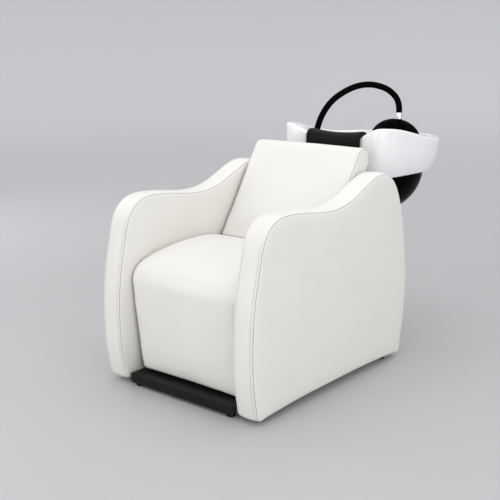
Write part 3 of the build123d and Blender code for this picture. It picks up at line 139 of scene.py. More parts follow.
def span(tree, pattern, low, high, reads=(0, 1)):
    """The pattern, read between two values, as a number between two limits."""
    rule = tree.nodes.new("ShaderNodeMapRange")
    rule.inputs["From Min"].default_value, rule.inputs["From Max"].default_value = reads
    rule.inputs["To Min"].default_value = low
    rule.inputs["To Max"].default_value = high
    tree.links.new(pattern, rule.inputs["Value"])
    return rule.outputs["Result"]


def relief(tree, shader, patterns):
    """Patterns as relief, one bump on the next, each with its height in metres and its strength."""
    before = None
    for pattern, height, strength in patterns:
        bump = tree.nodes.new("ShaderNodeBump")
        bump.inputs["Distance"].default_value = height
        bump.inputs["Strength"].default_value = strength
        tree.links.new(pattern, bump.inputs["Height"])
        if before:
            tree.links.new(before, bump.inputs["Normal"])
        before = bump.outputs["Normal"]
    tree.links.new(before, shader.inputs["Normal"])


def tint(colour, share):
    """A colour made darker or lighter by a share."""
    return tuple(min(1.0, channel * share) for channel in colour)


# %% [markdown]
# The cover is a smooth coated leathercloth in a warm off-white. Up close it has a fine pebble, over a
# hand's breadth its tone drifts a little, and painted shade darkens its seams. Black vinyl covers the neck rest
# in the same way.


# %% Upholstery finishes
def leathercloth(name, colour, roughness, drift=0.98, painted_groove_shade=0.58, shine=0.4):
    """Coated cloth with a fine pebble, a soft drift of tone, an uneven shine, and painted shade darkening its
    seam and row grooves.
    """
    finish, tree, shader = new_finish(name, colour, roughness)
    broad = noise(tree, 7.0)
    # Painted shade: the mesh's seam value darkens the colour in the seam and row grooves, standing in for the
    # shade that falls in them.
    seam = tree.nodes.new("ShaderNodeAttribute")
    seam.attribute_name = "seam"
    painted_groove_mix = tree.nodes.new("ShaderNodeMix")
    painted_groove_mix.data_type = "RGBA"
    painted_groove_mix.blend_type = "MIX"
    painted_groove_mix.inputs["B"].default_value = (*tint(colour, painted_groove_shade), 1)
    tree.links.new(seam.outputs["Fac"], painted_groove_mix.inputs["Factor"])
    tree.links.new(shades(tree, broad, tint(colour, drift), colour), painted_groove_mix.inputs["A"])
    tree.links.new(painted_groove_mix.outputs["Result"], shader.inputs["Base Color"])
    tree.links.new(span(tree, noise(tree, 45.0), roughness - 0.05, roughness + 0.07),
                   shader.inputs["Roughness"])
    relief(tree, shader, [(noise(tree, 24.0, 2.0), 0.0009, 0.15), (cells(tree, 950.0), 0.00022, 0.20)])
    shader.inputs["Specular IOR Level"].default_value = shine
    return finish


ivory = (0.80, 0.782, 0.742)
ivory_cloth = leathercloth("ivory_leathercloth", ivory, 0.46)
black_vinyl = leathercloth("black_vinyl", (0.007, 0.007, 0.0074), 0.44, shine=0.10)


def thread(name, colour):
    """Twisted polyester thread, ribbed across its length."""
    finish, tree, shader = new_finish(name, colour, 0.6)
    relief(tree, shader, [(noise(tree, 1800.0, 1.0), 0.0002, 0.5)])
    tree.links.new(shades(tree, noise(tree, 300.0), tint(colour, 0.8), colour), shader.inputs["Base Color"])
    return finish


ivory_thread = thread("ivory_thread", tint(ivory, 0.86))

# %% [markdown]
# The basin is vitreous china under a thick glaze: a cool white, a mirror-like coat, and a surface that
# is never quite flat. The black mouldings are glossy ABS with fine scuffs.


# %% Ceramic, plastic and rubber finishes
def moulded(name, colour, roughness, coat=0.0, grain=0.0, wave=0.1, drift=0.12, shine=0.5):
    """Moulded plastic or rubber: an uneven shine, faint scuffs, and grain where the mould had it."""
    finish, tree, shader = new_finish(name, colour, roughness)
    tree.links.new(span(tree, noise(tree, 60.0, 5.0), roughness * 0.8, roughness * 1.35),
                   shader.inputs["Roughness"])
    tree.links.new(shades(tree, noise(tree, 14.0), tint(colour, 1 - drift), tint(colour, 1 + drift)),
                   shader.inputs["Base Color"])
    relief(tree, shader, [(noise(tree, 9.0, 1.0), 0.002, wave), (noise(tree, 1400.0, 2.0), 0.0002, grain)])
    shader.inputs["Specular IOR Level"].default_value = shine
    shader.inputs["Coat Weight"].default_value = coat
    shader.inputs["Coat Roughness"].default_value = 0.06
    return finish


glaze = moulded("white_glaze", (0.92, 0.923, 0.93), 0.16, coat=0.7, grain=0.02, wave=0.03, drift=0.012)
black_gloss = moulded("black_gloss_plastic", (0.0016, 0.0016, 0.0017), 0.24, grain=0.03, wave=0.03, shine=0.012)
black_satin = moulded("black_satin_plastic", (0.009, 0.009, 0.0095), 0.42, grain=0.25, shine=0.12)
grey_plastic = moulded("grey_spray_plate", (0.2, 0.2, 0.21), 0.45, grain=0.25)
rubber = moulded("black_rubber", (0.015, 0.015, 0.016), 0.68, grain=0.5, shine=0.2)
hose_rubber = moulded("hose_rubber", (0.0016, 0.0016, 0.0017), 0.36, grain=0.18, shine=0.015)

# %% [markdown]
# Metals differ by how they were finished. The frame is powder coated, which leaves an orange peel. The
# kick bar has the same coat in charcoal. Chrome is nearly a mirror. Zinc plating is milky and blotchy.


# %% Metal finishes
def powder_coat(name, colour, roughness, shine=0.5):
    """Powder coat: a satin paint with an orange peel."""
    finish, tree, shader = new_finish(name, colour, roughness)
    tree.links.new(span(tree, noise(tree, 80.0), roughness - 0.06, roughness + 0.1),
                   shader.inputs["Roughness"])
    tree.links.new(shades(tree, noise(tree, 20.0), tint(colour, 0.88), tint(colour, 1.1)),
                   shader.inputs["Base Color"])
    relief(tree, shader, [(noise(tree, 520.0, 1.0), 0.0003, 0.3)])
    shader.inputs["Specular IOR Level"].default_value = shine
    return finish


def bright_metal(name, colour, roughness, brushed=0.0, blotch=0.92):
    """Bare or plated metal, blotchy or brushed along X."""
    finish, tree, shader = new_finish(name, colour, roughness, metallic=1.0)
    tree.links.new(span(tree, noise(tree, 90.0, 4.0), roughness * 0.7, roughness * 1.5),
                   shader.inputs["Roughness"])
    tree.links.new(shades(tree, noise(tree, 35.0), tint(colour, blotch), colour), shader.inputs["Base Color"])
    relief(tree, shader, [(noise(tree, 900.0, 2.0, (0.04, 1, 1)), 0.0001, brushed)])
    return finish


frame_coat = powder_coat("frame_powder_coat", (0.06, 0.06, 0.063), 0.42)
kick_coat = powder_coat("kick_bar_powder_coat", (0.008, 0.008, 0.0084), 0.45, shine=0.16)
chrome = bright_metal("chrome_plate", (0.86, 0.87, 0.88), 0.09, 0.02, 0.97)
zinc = bright_metal("zinc_plate", (0.62, 0.63, 0.65), 0.3, 0.15, 0.82)
steel = bright_metal("ground_steel", (0.55, 0.56, 0.58), 0.28, 0.3, 0.9)
bronze = bright_metal("sintered_bronze", (0.50, 0.33, 0.17), 0.38, 0.1, 0.8)
brass = bright_metal("cast_brass", (0.72, 0.55, 0.27), 0.27, 0.1, 0.88)


# %% Plywood
def plywood(name, colour):
    """Birch plywood: long grain, a few darker streaks and a dry surface."""
    finish, tree, shader = new_finish(name, colour, 0.7)
    grain = noise(tree, 60.0, 6.0, (1.0, 0.08, 1.0))
    tree.links.new(shades(tree, grain, tint(colour, 0.68), tint(colour, 1.08)), shader.inputs["Base Color"])
    relief(tree, shader, [(grain, 0.0006, 0.25)])
    return finish


birch = plywood("birch_plywood", (0.58, 0.44, 0.28))

# %% [markdown]
# The CAD nodes whose shape is already right keep it, and get a finish. The slot that the record gives
# each node picks it.

# %% Dress the CAD nodes
slot_finishes = {
    "upholstery": ivory_cloth, "neck_pad": black_vinyl, "ceramic": glaze, "frame_steel": frame_coat,
    "kick_steel": kick_coat, "plywood": birch, "zinc_steel": zinc, "shaft_steel": steel, "bronze": bronze,
    "black_gloss": black_gloss, "black_satin": black_satin, "rubber_feet": rubber, "hose_black": hose_rubber,
    "chrome": chrome, "brass": brass, "spray_grey": grey_plastic,
}
for row in frame["record"]["subparts"]:
    node = nodes[row["node"]]
    node.data.materials.clear()
    node.data.materials.append(slot_finishes[row["material_slot"]])
nodes["mixer_body"].data.materials[0] = chrome  # the barrel shows outside the hood, so it is plated
print("finishes on", len(nodes), "CAD nodes")

# %% [markdown]
# ## Hose
# A short stiff rubber hose arches from the basin's shoulder to the hand spray. A NURBS line through the
# same few points as the drawing's gives its path, and rings round that path make the tube. The tube is a
# mesh.

# %% Hose path
hose_points = [
    at(-0.200, 1.095, 0.776), at(-0.200, 1.095, 0.842), at(-0.166, 1.134, 0.948), at(-0.106, 1.199, 1.008),
    at(-0.050, 1.257, 1.028), at(0.004, 1.314, 1.011), at(0.036, 1.347, 0.975), at(0.048, 1.360, 0.937),
    at(0.048, 1.360, 0.905),
]
hose_radius = 0.013
hose_sides = 40


def nurbs_points(points, per_span=10):
    """Points along the open NURBS line that has these control points."""
    line = bpy.data.curves.new("line", "CURVE")
    line.dimensions = "3D"
    spline = line.splines.new("NURBS")
    spline.points.add(len(points) - 1)
    for control, place in zip(spline.points, points):
        control.co = (*place, 1)
    spline.order_u = 3
    spline.use_endpoint_u = True
    spline.resolution_u = per_span
    holder = bpy.data.objects.new("line", line)
    bpy.context.scene.collection.objects.link(holder)
    bpy.context.view_layer.update()
    mesh = bpy.data.meshes.new_from_object(holder.evaluated_get(bpy.context.evaluated_depsgraph_get()))
    path = [vertex.co.copy() for vertex in mesh.vertices]
    bpy.data.objects.remove(holder)
    return path


def finished(name, mesh, finish):
    """An object for a mesh, with its finish, in the scene."""
    piece = bpy.data.objects.new(name, mesh)
    bpy.context.scene.collection.objects.link(piece)
    mesh.materials.clear()
    mesh.materials.append(finish)
    for face in mesh.polygons:
        face.use_smooth = True
    return piece


def tube(name, path, radius, sides, finish):
    """A closed tube round a path, its rings turned as little as possible from one to the next."""
    rim, faces = [], []
    side = Vector((1, -1, 0)).normalized()
    for i, place in enumerate(path):
        along = (path[min(i + 1, len(path) - 1)] - path[max(i - 1, 0)]).normalized()
        side = (side - along * side.dot(along)).normalized()
        up = along.cross(side)
        rim += [place + (side * math.cos(a) + up * math.sin(a)) * radius
                for a in (2 * math.pi * k / sides for k in range(sides))]
    for i in range(len(path) - 1):
        for k in range(sides):
            a, b = i * sides + k, i * sides + (k + 1) % sides
            faces.append((a, b, b + sides, a + sides))
    faces += [tuple(reversed(range(sides))), tuple(range(len(rim) - sides, len(rim)))]
    mesh = bpy.data.meshes.new(name)
    mesh.from_pydata(rim, [], faces)
    return finished(name, mesh, finish)


hose_path = nurbs_points(hose_points)
hose_length = sum((b - a).length for a, b in zip(hose_path, hose_path[1:]))
hose = tube("spray_hose", hose_path, hose_radius, hose_sides, hose_rubber)
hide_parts("shower_hose")
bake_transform(hose)
print("hose line is", round(hose_length, 3), "m long")

# %% [markdown]
# ## Upholstery
# The chair's soft forms are all slabs: an outline seen from the side, wrapped by a band, with a facing
# let in on each side along a seam. One helper sweeps a cross-section of (distance across, distance in
# from the outline) round the outline and closes each side with rings that rise into a crown.


# %% Lines and slabs
def smooth_line(points, count):
    """A natural cubic curve through points of the side view, as evenly spaced points."""
    knots = np.array(points, float)
    time = np.concatenate([[0], np.cumsum(np.linalg.norm(np.diff(knots, axis=0), axis=1))])
    gap = np.diff(time)
    size = len(knots)
    left = np.eye(size)
    right = np.zeros((size, 2))
    for i in range(1, size - 1):
        left[i, i - 1:i + 2] = gap[i - 1], 2 * (gap[i - 1] + gap[i]), gap[i]
        right[i] = 6 * ((knots[i + 1] - knots[i]) / gap[i] - (knots[i] - knots[i - 1]) / gap[i - 1])
    bend = np.linalg.solve(left, right)
    fine = np.linspace(0, time[-1], 40 * size)
    span_of = np.clip(np.searchsorted(time, fine, side="right") - 1, 0, size - 2)
    a, b = (time[span_of + 1] - fine)[:, None], (fine - time[span_of])[:, None]
    h = gap[span_of][:, None]
    line = (bend[span_of] * a**3 + bend[span_of + 1] * b**3) / (6 * h)
    line += (knots[span_of] / h - bend[span_of] * h / 6) * a
    line += (knots[span_of + 1] / h - bend[span_of + 1] * h / 6) * b
    return even_line(line, count)


def even_line(points, count):
    """The same line with its points spread evenly along it."""
    line = np.array(points, float)
    run = np.concatenate([[0], np.cumsum(np.linalg.norm(np.diff(line, axis=0), axis=1))])
    wanted = np.linspace(0, run[-1], count)
    return np.stack([np.interp(wanted, run, line[:, k]) for k in range(line.shape[1])], axis=1)


def inward(loop):
    """The inward direction at each point of a closed loop, eased over its corners."""
    ahead = np.roll(loop, -1, axis=0) - np.roll(loop, 1, axis=0)
    ahead /= np.linalg.norm(ahead, axis=1)[:, None]
    area = np.sum(loop[:, 0] * np.roll(loop[:, 1], -1) - np.roll(loop[:, 0], -1) * loop[:, 1])
    turn = np.stack([-ahead[:, 1], ahead[:, 0]], axis=1)
    return turn if area > 0 else -turn


def swell_over(loop, points, swells):
    """How far points rise: each (rise, reach) grows with a smooth distance from the loop and levels off."""
    step = np.linalg.norm(np.roll(loop, -1, axis=0) - loop, axis=1)
    gaps = np.maximum(np.linalg.norm(points[:, None, :] - loop[None, :, :], axis=2), 1e-4)
    from_edge = np.sqrt(2 / np.sum(step / gaps**3, axis=1))
    return sum(rise * (1 - np.exp(-((from_edge / reach) ** 2))) for rise, reach in swells)


def slab(name, loop, section, middle, swells, finish, rings=14):
    """A closed slab: the section swept round the loop, and each side closed by rings that swell outwards."""
    count = len(loop)
    turn = inward(loop)
    rows, groove_shades = [], []
    for across, inset, *shade_value in section:
        ring = loop + turn * np.broadcast_to(inset, count)[:, None]
        rows.append(np.column_stack([np.full(count, across), ring]))
        groove_shades.append(np.broadcast_to(shade_value[0] if shade_value else 0.0, count))
    centre = np.array(middle)
    shrink = 1 - np.linspace(0, 1, rings + 1)[1:-1] ** 1.5
    poles = []
    for end, (out, side_swells) in ((0, swells[0]), (-1, swells[1])):
        edge = rows[end][:, 1:].copy()
        across = rows[end][0, 0]
        caps = []
        for k in shrink:
            ring = centre + (edge - centre) * k
            rise = swell_over(edge, ring, side_swells)
            caps.append(np.column_stack([across + out * rise, ring]))
        poles.append((across + out * swell_over(edge, centre[None, :], side_swells)[0], *centre))
        plain = [np.zeros(count)] * len(caps)
        rows, groove_shades = (caps[::-1] + rows, plain + groove_shades) if end == 0 else (rows + caps, groove_shades + plain)
    places = [at(*point) for row in rows for point in row]
    faces = [
        (r * count + i, r * count + (i + 1) % count, (r + 1) * count + (i + 1) % count, (r + 1) * count + i)
        for r in range(len(rows) - 1) for i in range(count)
    ]
    for start, pole in ((0, poles[0]), ((len(rows) - 1) * count, poles[1])):
        places.append(at(*pole))
        faces += [(len(places) - 1, start + (i + 1) % count, start + i) for i in range(count)]
    mesh = bpy.data.meshes.new(name)
    mesh.from_pydata(places, [], faces)
    # The seam attribute carries the painted groove shade to the cloth finish; the crowned caps get none.
    seam = mesh.attributes.new("seam", "FLOAT", "POINT")
    seam.data.foreach_set("value", np.concatenate([*groove_shades, [0.0, 0.0]]).astype(np.float32))
    turned_out(mesh)
    return finished(name, mesh, finish)


def turned_out(mesh):
    """Make every face of a closed mesh point outwards."""
    work = bmesh.new()
    work.from_mesh(mesh)
    bmesh.ops.recalc_face_normals(work, faces=work.faces)
    work.to_mesh(mesh)
    work.free()


# %% [markdown]
# A side panel is a board wrapped in firm foam. A band about 90 mm wide runs round its edge between two
# seams, and the facings swell a little from the seam. The seam lies low because the thread pulls it in.
# At the front a second row of stitching runs beside the outer seam and fades out over the arm.

# %% Side panels
panel_depth, panel_height = 0.945, 0.737
panel_outline_shares = [
    (0.032, 0.019), (0.010, 0.143), (0.000, 0.320), (0.011, 0.545), (0.037, 0.710), (0.076, 0.848),
    (0.133, 0.903), (0.212, 0.914), (0.330, 0.900), (0.465, 0.885), (0.560, 0.902), (0.677, 0.962),
    (0.762, 0.999), (0.820, 0.998), (0.878, 0.958), (0.930, 0.855), (0.972, 0.672), (0.996, 0.475),
    (0.999, 0.300), (0.985, 0.150), (0.963, 0.019),
]
panel_points = [(back * panel_depth, up * panel_height) for back, up in panel_outline_shares]
panel_arch = [panel_points[-1], (0.70, 0.025), (0.47, 0.027), (0.24, 0.025), panel_points[0]]
panel_inner, panel_outer = 0.258, 0.350
panel_edge = 0.015
seam_turn = math.radians(45)
seam_groove, seam_half_width = 0.0022, 0.0021
row_gap, row_groove, row_half_width = 0.0092, 0.0011, 0.0024


def softened_corner(before, after, reach, count=12):
    """Two lines that meet in a corner, with the corner eased over a reach along each of them."""
    corner = before[-1]
    stay = before[np.linalg.norm(before - corner, axis=1) > reach]
    leave = after[np.linalg.norm(after - corner, axis=1) > reach]
    share = np.linspace(0, 1, count)[1:-1, None]
    bend = stay[-1] * (1 - share) ** 2 + corner * 2 * share * (1 - share) + leave[0] * share**2
    return np.vstack([stay, bend]), leave


def rolled_edge(corner, out, edge, second_row=0.0):
    """A rounded edge from band to facing with its seam and row pressed in: (across, inset, painted groove
    shade) rows.
    """
    arc = edge * seam_turn
    row_at = 1 - row_gap / arc
    steps = [0.0] + [row_at + k * row_half_width / arc for k in (-1, -0.5, 0, 0.5, 1)] + [0.7]
    steps += [1 + k * seam_half_width / arc for k in (-1.3, -1, -0.5, -0.2, 0, 0.2, 0.5, 1, 1.3)] + [1.5]
    rows = []
    for share in sorted(steps):
        in_seam = max(0.0, 1 - abs(share - 1) * arc / seam_half_width)
        in_row = max(0.0, 1 - abs(share - row_at) * arc / row_half_width) * second_row
        away = edge - seam_groove * in_seam - row_groove * in_row
        angle = share * seam_turn
        # The third value is painted shade for the grooves: up to 1 in the seam and 0.55 in the row.
        rows.append((corner + out * away * math.sin(angle), edge - away * math.cos(angle),
                     min(1.0, 1.4 * in_seam) + 0.55 * in_row))
    return rows


def panel_section(inner, outer, second_row, tight):
    """The cross-section of a panel from its inner facing, round the band, to its outer facing."""
    out = 1 if outer > inner else -1
    near = rolled_edge(outer - out * panel_edge, out, panel_edge, second_row) + [(outer, 0.018)]
    far = rolled_edge(inner + out * panel_edge, -out, panel_edge, second_row) + [(inner, 0.018)]
    middle, wide = (inner + outer) / 2, abs(outer - inner) - 2 * panel_edge
    band = [
        (middle + out * wide * share, -0.0018 * (1 - (2 * share) ** 2))
        for share in (-0.4, -0.3, -0.2, -0.1, 0, 0.1, 0.2, 0.3, 0.4)
    ]
    near, far = ([(across, inset * tight, *shade_value) for across, inset, *shade_value in edge] for edge in (near, far))
    return far[::-1] + band + near


panel_side = smooth_line(panel_points, 330)
panel_foot = smooth_line(panel_arch, 120)
panel_side, panel_foot = softened_corner(panel_side, panel_foot, 0.017)
panel_foot, panel_side = softened_corner(panel_foot, panel_side, 0.017)
panel_loop = np.vstack([panel_side, panel_foot])
front_row = np.clip((0.63 - panel_loop[:, 1]) / 0.06, 0, 1) * (panel_loop[:, 0] < 0.2)
from_corners = np.minimum(
    *(np.linalg.norm(panel_loop - np.array(corner), axis=1) for corner in (panel_points[0], panel_points[-1]))
)
panel_tight = 0.5 + 0.5 * np.clip(from_corners / 0.05, 0, 1) ** 2
facing_swells = [(0.0022, 0.011), (0.0022, 0.09)]
lining_swells = [(0.0008, 0.02)]


def declare_cushion(piece, node, body):
    """Hide the CAD node that a padded piece stands in for, and attach the piece to its body."""
    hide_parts(node)
    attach(piece, body)
    print(piece.name, len(piece.data.polygons), "faces")


for hand, out in (("right", 1), ("left", -1)):
    cover = slab(
        f"{hand}_panel_cover", panel_loop,
        panel_section(out * panel_inner, out * (panel_outer - 0.0015), front_row, panel_tight), (0.48, 0.34),
        ((-out, lining_swells), (out, facing_swells)), ivory_cloth,
    )
    declare_cushion(cover, f"{hand}_side_panel", "chair")

# %% [markdown]
# Leathercloth over foam is never a plain swept form: it tightens over the foam and gathers a little at
# the seams. A short cloth simulation gives each cushion that. The cover is cut slightly large, pinned at
# its seams and where it is stapled to the board, and blown up against no gravity. Every move is then kept
# under a set distance and evened out.


# %% Cloth simulation
def evened(mesh, field, rounds, share=0.5, keep=None):
    """A value at each point, drawn part of the way to its neighbours' average a few times over."""
    count = len(mesh.vertices)
    ends = np.empty(len(mesh.edges) * 2, int)
    mesh.edges.foreach_get("vertices", ends)
    ends = ends.reshape(-1, 2)
    degree = np.bincount(ends.ravel(), minlength=count)[:, None]
    free = np.ones((count, 1)) if keep is None else (~keep)[:, None].astype(float)
    for _ in range(rounds):
        total = np.stack([
            np.bincount(ends.ravel(), field[ends[:, ::-1].ravel(), k], count) for k in range(3)
        ], axis=1)
        field = field + free * share * (total / degree - field)
    return field


def points_of(mesh):
    """A mesh's points as an array of rows."""
    flat = np.empty(len(mesh.vertices) * 3)
    mesh.vertices.foreach_get("co", flat)
    return flat.reshape(-1, 3)


def relax(piece, rounds):
    """Even a mesh out: each point moves part of the way to the middle of its neighbours."""
    piece.data.vertices.foreach_set("co", evened(piece.data, points_of(piece.data), rounds).ravel())
    piece.data.update()


def puff(piece, pinned, pressure, limit, slack=0.006, frames=16, rounds=14):
    """Blow a cushion's cover up from inside, its pinned points held and every move small and even."""
    mesh = piece.data
    held = piece.vertex_groups.new(name="held")
    held.add([int(i) for i in np.flatnonzero(pinned)], 1.0, "REPLACE")
    before = points_of(mesh)
    cloth = piece.modifiers.new("cover", "CLOTH")
    rules = cloth.settings
    rules.quality = 6
    rules.mass = 0.4
    rules.tension_stiffness = rules.compression_stiffness = 30
    rules.shear_stiffness = 15
    rules.bending_stiffness = 4
    rules.use_pressure = True
    rules.uniform_pressure_force = pressure
    rules.shrink_min = -slack
    rules.vertex_group_mass = "held"
    rules.effector_weights.gravity = 0
    cloth.collision_settings.use_collision = False
    scene = bpy.context.scene
    cloth.point_cache.frame_start, cloth.point_cache.frame_end = 1, frames
    for frame_number in range(1, frames + 1):
        scene.frame_set(frame_number)
    after = points_of(piece.evaluated_get(bpy.context.evaluated_depsgraph_get()).data)
    piece.modifiers.remove(cloth)
    piece.vertex_groups.remove(held)
    scene.frame_set(1)
    step = after - before
    far = np.linalg.norm(step, axis=1)[:, None]
    step = evened(mesh, step * np.tanh(far / limit) * limit / np.maximum(far, 1e-9), rounds, keep=pinned)
    mesh.vertices.foreach_set("co", (before + step).ravel())
    mesh.update()
    print(piece.name, "moved by", round(1000 * float(np.linalg.norm(step, axis=1).max()), 1), "mm at most")


def places_of(piece):
    """A piece's points as rows of across, depth and height."""
    rows = points_of(piece.data)
    rows[:, 1] += half_depth
    return rows


def move_to(piece, rows):
    """Give a piece's points new places, as rows of across, depth and height."""
    rows = rows.copy()
    rows[:, 1] -= half_depth
    piece.data.vertices.foreach_set("co", rows.ravel())
    piece.data.update()


# %% [markdown]
# The seat cushion is a waterfall: one cover comes over the brow and hangs down as the apron. It crowns
# between its side seams, its lower half narrows, and its bottom corners are rounded. On the photographed
# chair the apron is tucked in a little further on the right, with a small pucker where the tuck begins.


# %% Seat cushion
def arc_points(start, middle, end, count=24):
    """Points along the circle through three points of the side view, from the first to the last."""
    (ax, ay), (bx, by), (cx, cy) = start, middle, end
    twice = 2 * (ax * (by - cy) + bx * (cy - ay) + cx * (ay - by))
    a2, b2, c2 = ax**2 + ay**2, bx**2 + by**2, cx**2 + cy**2
    x = (a2 * (by - cy) + b2 * (cy - ay) + c2 * (ay - by)) / twice
    y = (a2 * (cx - bx) + b2 * (ax - cx) + c2 * (bx - ax)) / twice
    radius = math.hypot(ax - x, ay - y)
    first = math.atan2(ay - y, ax - x)
    sweep = (math.atan2(cy - y, cx - x) - first + math.pi) % (2 * math.pi) - math.pi
    return [
        (x + radius * math.cos(first + sweep * k / count), y + radius * math.sin(first + sweep * k / count))
        for k in range(count + 1)
    ]


def closed_loop(points, step):
    """A closed line with its points spread evenly at about the step."""
    line = np.array(list(points) + [points[0]], float)
    length = np.sum(np.linalg.norm(np.diff(line, axis=0), axis=1))
    return even_line(line, int(length / step) + 1)[:-1]


def cushion_section(half, edge, crown, upper, steps):
    """The cross-section of a cushion: rolled edges with seams, and a crown where it isn't boarded."""
    flat = half - edge
    middle = [
        (flat * share, -crown * (1 - abs(share) ** 2.3) * upper)
        for share in np.linspace(-1, 1, steps + 2)[1:-1]
    ]
    return rolled_edge(-flat, -1, edge)[::-1] + middle + rolled_edge(flat, 1, edge)


seat_half, seat_edge = 0.253, 0.016
seat_bottom, seat_board_level = 0.053, 0.3465
seat_profile = (
    [(0.1345, seat_bottom), (0.092, seat_bottom), (0.083, 0.055), (0.0785, 0.062)]
    + arc_points((0.0555, 0.380), (0.0677, 0.4273), (0.106, 0.457))
    + arc_points((0.106, 0.457), (0.312, 0.491), (0.5285, 0.470))[1:]
    + [(0.533, 0.430), (0.544, seat_board_level), (0.1345, seat_board_level)]
)
seat_loop = closed_loop(seat_profile, 0.0065)
seat_upper = np.clip((0.515 - seat_loop[:, 0]) / 0.05, 0, 1) * np.clip((seat_loop[:, 1] - 0.07) / 0.08, 0, 1)
seat_upper *= (seat_loop[:, 1] > seat_board_level + 0.004) | (seat_loop[:, 0] < 0.12)
seat = slab(
    "seat_cover", seat_loop, cushion_section(seat_half, seat_edge, 0.0065, seat_upper, 64), (0.100, 0.375),
    ((-1, [(0.0, 0.01)]), (1, [(0.0, 0.01)])), ivory_cloth, rings=8,
)
print("seat", len(seat.data.vertices), "points")


# %% Shape the seat
def shaped_seat(rows):
    """Narrow the apron, round its bottom corners, and let the top sink beside the panels."""
    left_taper, right_taper = 0.021, 0.010
    tuck, tuck_top, tuck_fall = 0.020, 0.425, 0.06
    dip, more_on_the_right = 0.012, 0.008
    pucker, pucker_place, pucker_reach = 0.004, (0.243, 0.062, 0.412), (0.016, 0.03, 0.012)
    corner, corner_rise = 0.022, 0.05
    rows = rows.copy()
    on_right = rows[:, 0] > 0
    down = np.clip((seat_board_level - rows[:, 2]) / (seat_board_level - seat_bottom), 0, 1)
    tucked = np.clip((tuck_top - rows[:, 2]) / tuck_fall, 0, 1)
    left_half = seat_half - left_taper * down**1.5
    right_half = seat_half - tuck * tucked * tucked * (3 - 2 * tucked) - right_taper * down
    half = np.where(on_right, right_half, left_half)
    rows[:, 0] *= half / seat_half
    near_side = np.clip((np.abs(rows[:, 0]) - 0.185) / 0.068, 0, 1) ** 2
    on_top = np.clip((rows[:, 2] - 0.36) / 0.09, 0, 1) * np.clip((0.50 - rows[:, 1]) / 0.15, 0.25, 1)
    rows[:, 2] -= (dip + more_on_the_right * on_right) * on_top * near_side
    from_pucker = (rows - np.array(pucker_place)) / np.array(pucker_reach)
    rows[:, 1] += pucker * np.exp(-np.sum(from_pucker**2, axis=1))
    into = np.clip((np.abs(rows[:, 0]) - (half - corner)) / corner, 0, 1)
    low = np.clip(1 - (rows[:, 2] - seat_bottom) / corner_rise, 0, 1)
    rows[:, 2] += corner * (1 - np.sqrt(np.maximum(0, 1 - into**2))) * low
    return rows


seat_rows = places_of(seat)
flat_side = np.abs(seat_rows[:, 0]) > seat_half - 0.004
boarded = (seat_rows[:, 2] < seat_board_level + 0.003) & (seat_rows[:, 0] > -9) & (seat_rows[:, 1] > 0.125)
rear_end = seat_rows[:, 1] > 0.520
move_to(seat, shaped_seat(seat_rows))
puff(seat, flat_side | boarded | rear_end, 1.6, 0.0045)
declare_cushion(seat, "seat_cushion", "chair")

# %% [markdown]
# The back rest is a wedge with a rolled head. Its sides are closed by D-shaped gussets, and the seam
# that lets them in shows from the side.

# %% Back rest
back_half, back_edge = 0.2495, 0.018
back_foot, back_head = (0.5302, 0.4710), (0.738, 0.802)
back_profile = (
    [back_foot, back_head] + arc_points(back_head, (0.772, 0.8205), (0.8105, 0.784))[1:]
    + [(0.8105, 0.758), (0.6025, 0.4275), (0.5345, 0.466)]
)
back_loop = closed_loop(back_profile, 0.0062)
back_dir = np.array([back_head[0] - back_foot[0], back_head[1] - back_foot[1]])
back_dir /= np.linalg.norm(back_dir)
front_gap = (back_loop - np.array(back_foot)) @ np.array([back_dir[1], -back_dir[0]])
back_upper = np.clip(1 - front_gap / 0.02, 0, 1) * np.clip((back_loop[:, 1] - 0.475) / 0.05, 0, 1)
back = slab(
    "backrest_cover", back_loop, cushion_section(back_half, back_edge, 0.0065, back_upper, 66),
    (0.700, 0.690), ((-1, [(0.002, 0.03)]), (1, [(0.002, 0.03)])), ivory_cloth, rings=8,
)
back_rows = places_of(back)
back_offset = (back_rows[:, 1:] - np.array(back_foot)) @ np.array([back_dir[1], -back_dir[0]])
back_held = (np.abs(back_rows[:, 0]) > back_half - 0.005) | (back_offset > 0.078) | (back_rows[:, 2] < 0.485)
puff(back, back_held, 1.6, 0.004)
declare_cushion(back, "backrest_cushion", "chair")

# %% [markdown]
# The neck rest is soft black foam in vinyl that saddles the front wall of the basin. The basin itself is
# cast and glazed, so none of its edges is sharp. Both start from their CAD solids: the mesh is welded,
# remade from small cells and smoothed, which rounds each edge as glaze or foam would.


# %% Softened copies of CAD nodes
def softened(node, name, cell, rounds, finish):
    """A copy of a CAD node remade from small cells, with its edges rounded."""
    mesh = nodes[node].data.copy()
    work = bmesh.new()
    work.from_mesh(mesh)
    bmesh.ops.remove_doubles(work, verts=work.verts, dist=1e-5)
    work.to_mesh(mesh)
    work.free()
    piece = finished(name, mesh, finish)
    remake = piece.modifiers.new("cells", "REMESH")
    remake.mode = "VOXEL"
    remake.voxel_size = cell
    remade = bpy.data.meshes.new_from_object(piece.evaluated_get(bpy.context.evaluated_depsgraph_get()))
    piece.modifiers.remove(remake)
    piece.data = remade
    remade.name = name
    remade.materials.clear()
    remade.materials.append(finish)
    for face in remade.polygons:
        face.use_smooth = True
    relax(piece, rounds)
    turned_out(remade)
    print(name, len(remade.polygons), "faces")
    return piece


rest = softened("neck_rest", "neck_rest_cover", 0.003, 10, black_vinyl)
rest_rows = places_of(rest)
puff(rest, rest_rows[:, 2] < 0.815, 1.2, 0.0025, slack=0.004, frames=12)
declare_cushion(rest, "neck_rest", "basin")

rear = softened("rear_cover", "rear_cover_board", 0.003, 6, ivory_cloth)
declare_cushion(rear, "rear_cover", "chair")

glazed_basin = softened("basin", "glazed_basin", 0.0038, 9, glaze)
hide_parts("basin")
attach(glazed_basin, "basin")

# %% [markdown]
# ## Stitches
# The row beside each panel's outer seam is topstitched in a matching thread. A Geometry Nodes tree lays
# one short stitch every few millimetres along the row's line, and the result is baked to a plain mesh.


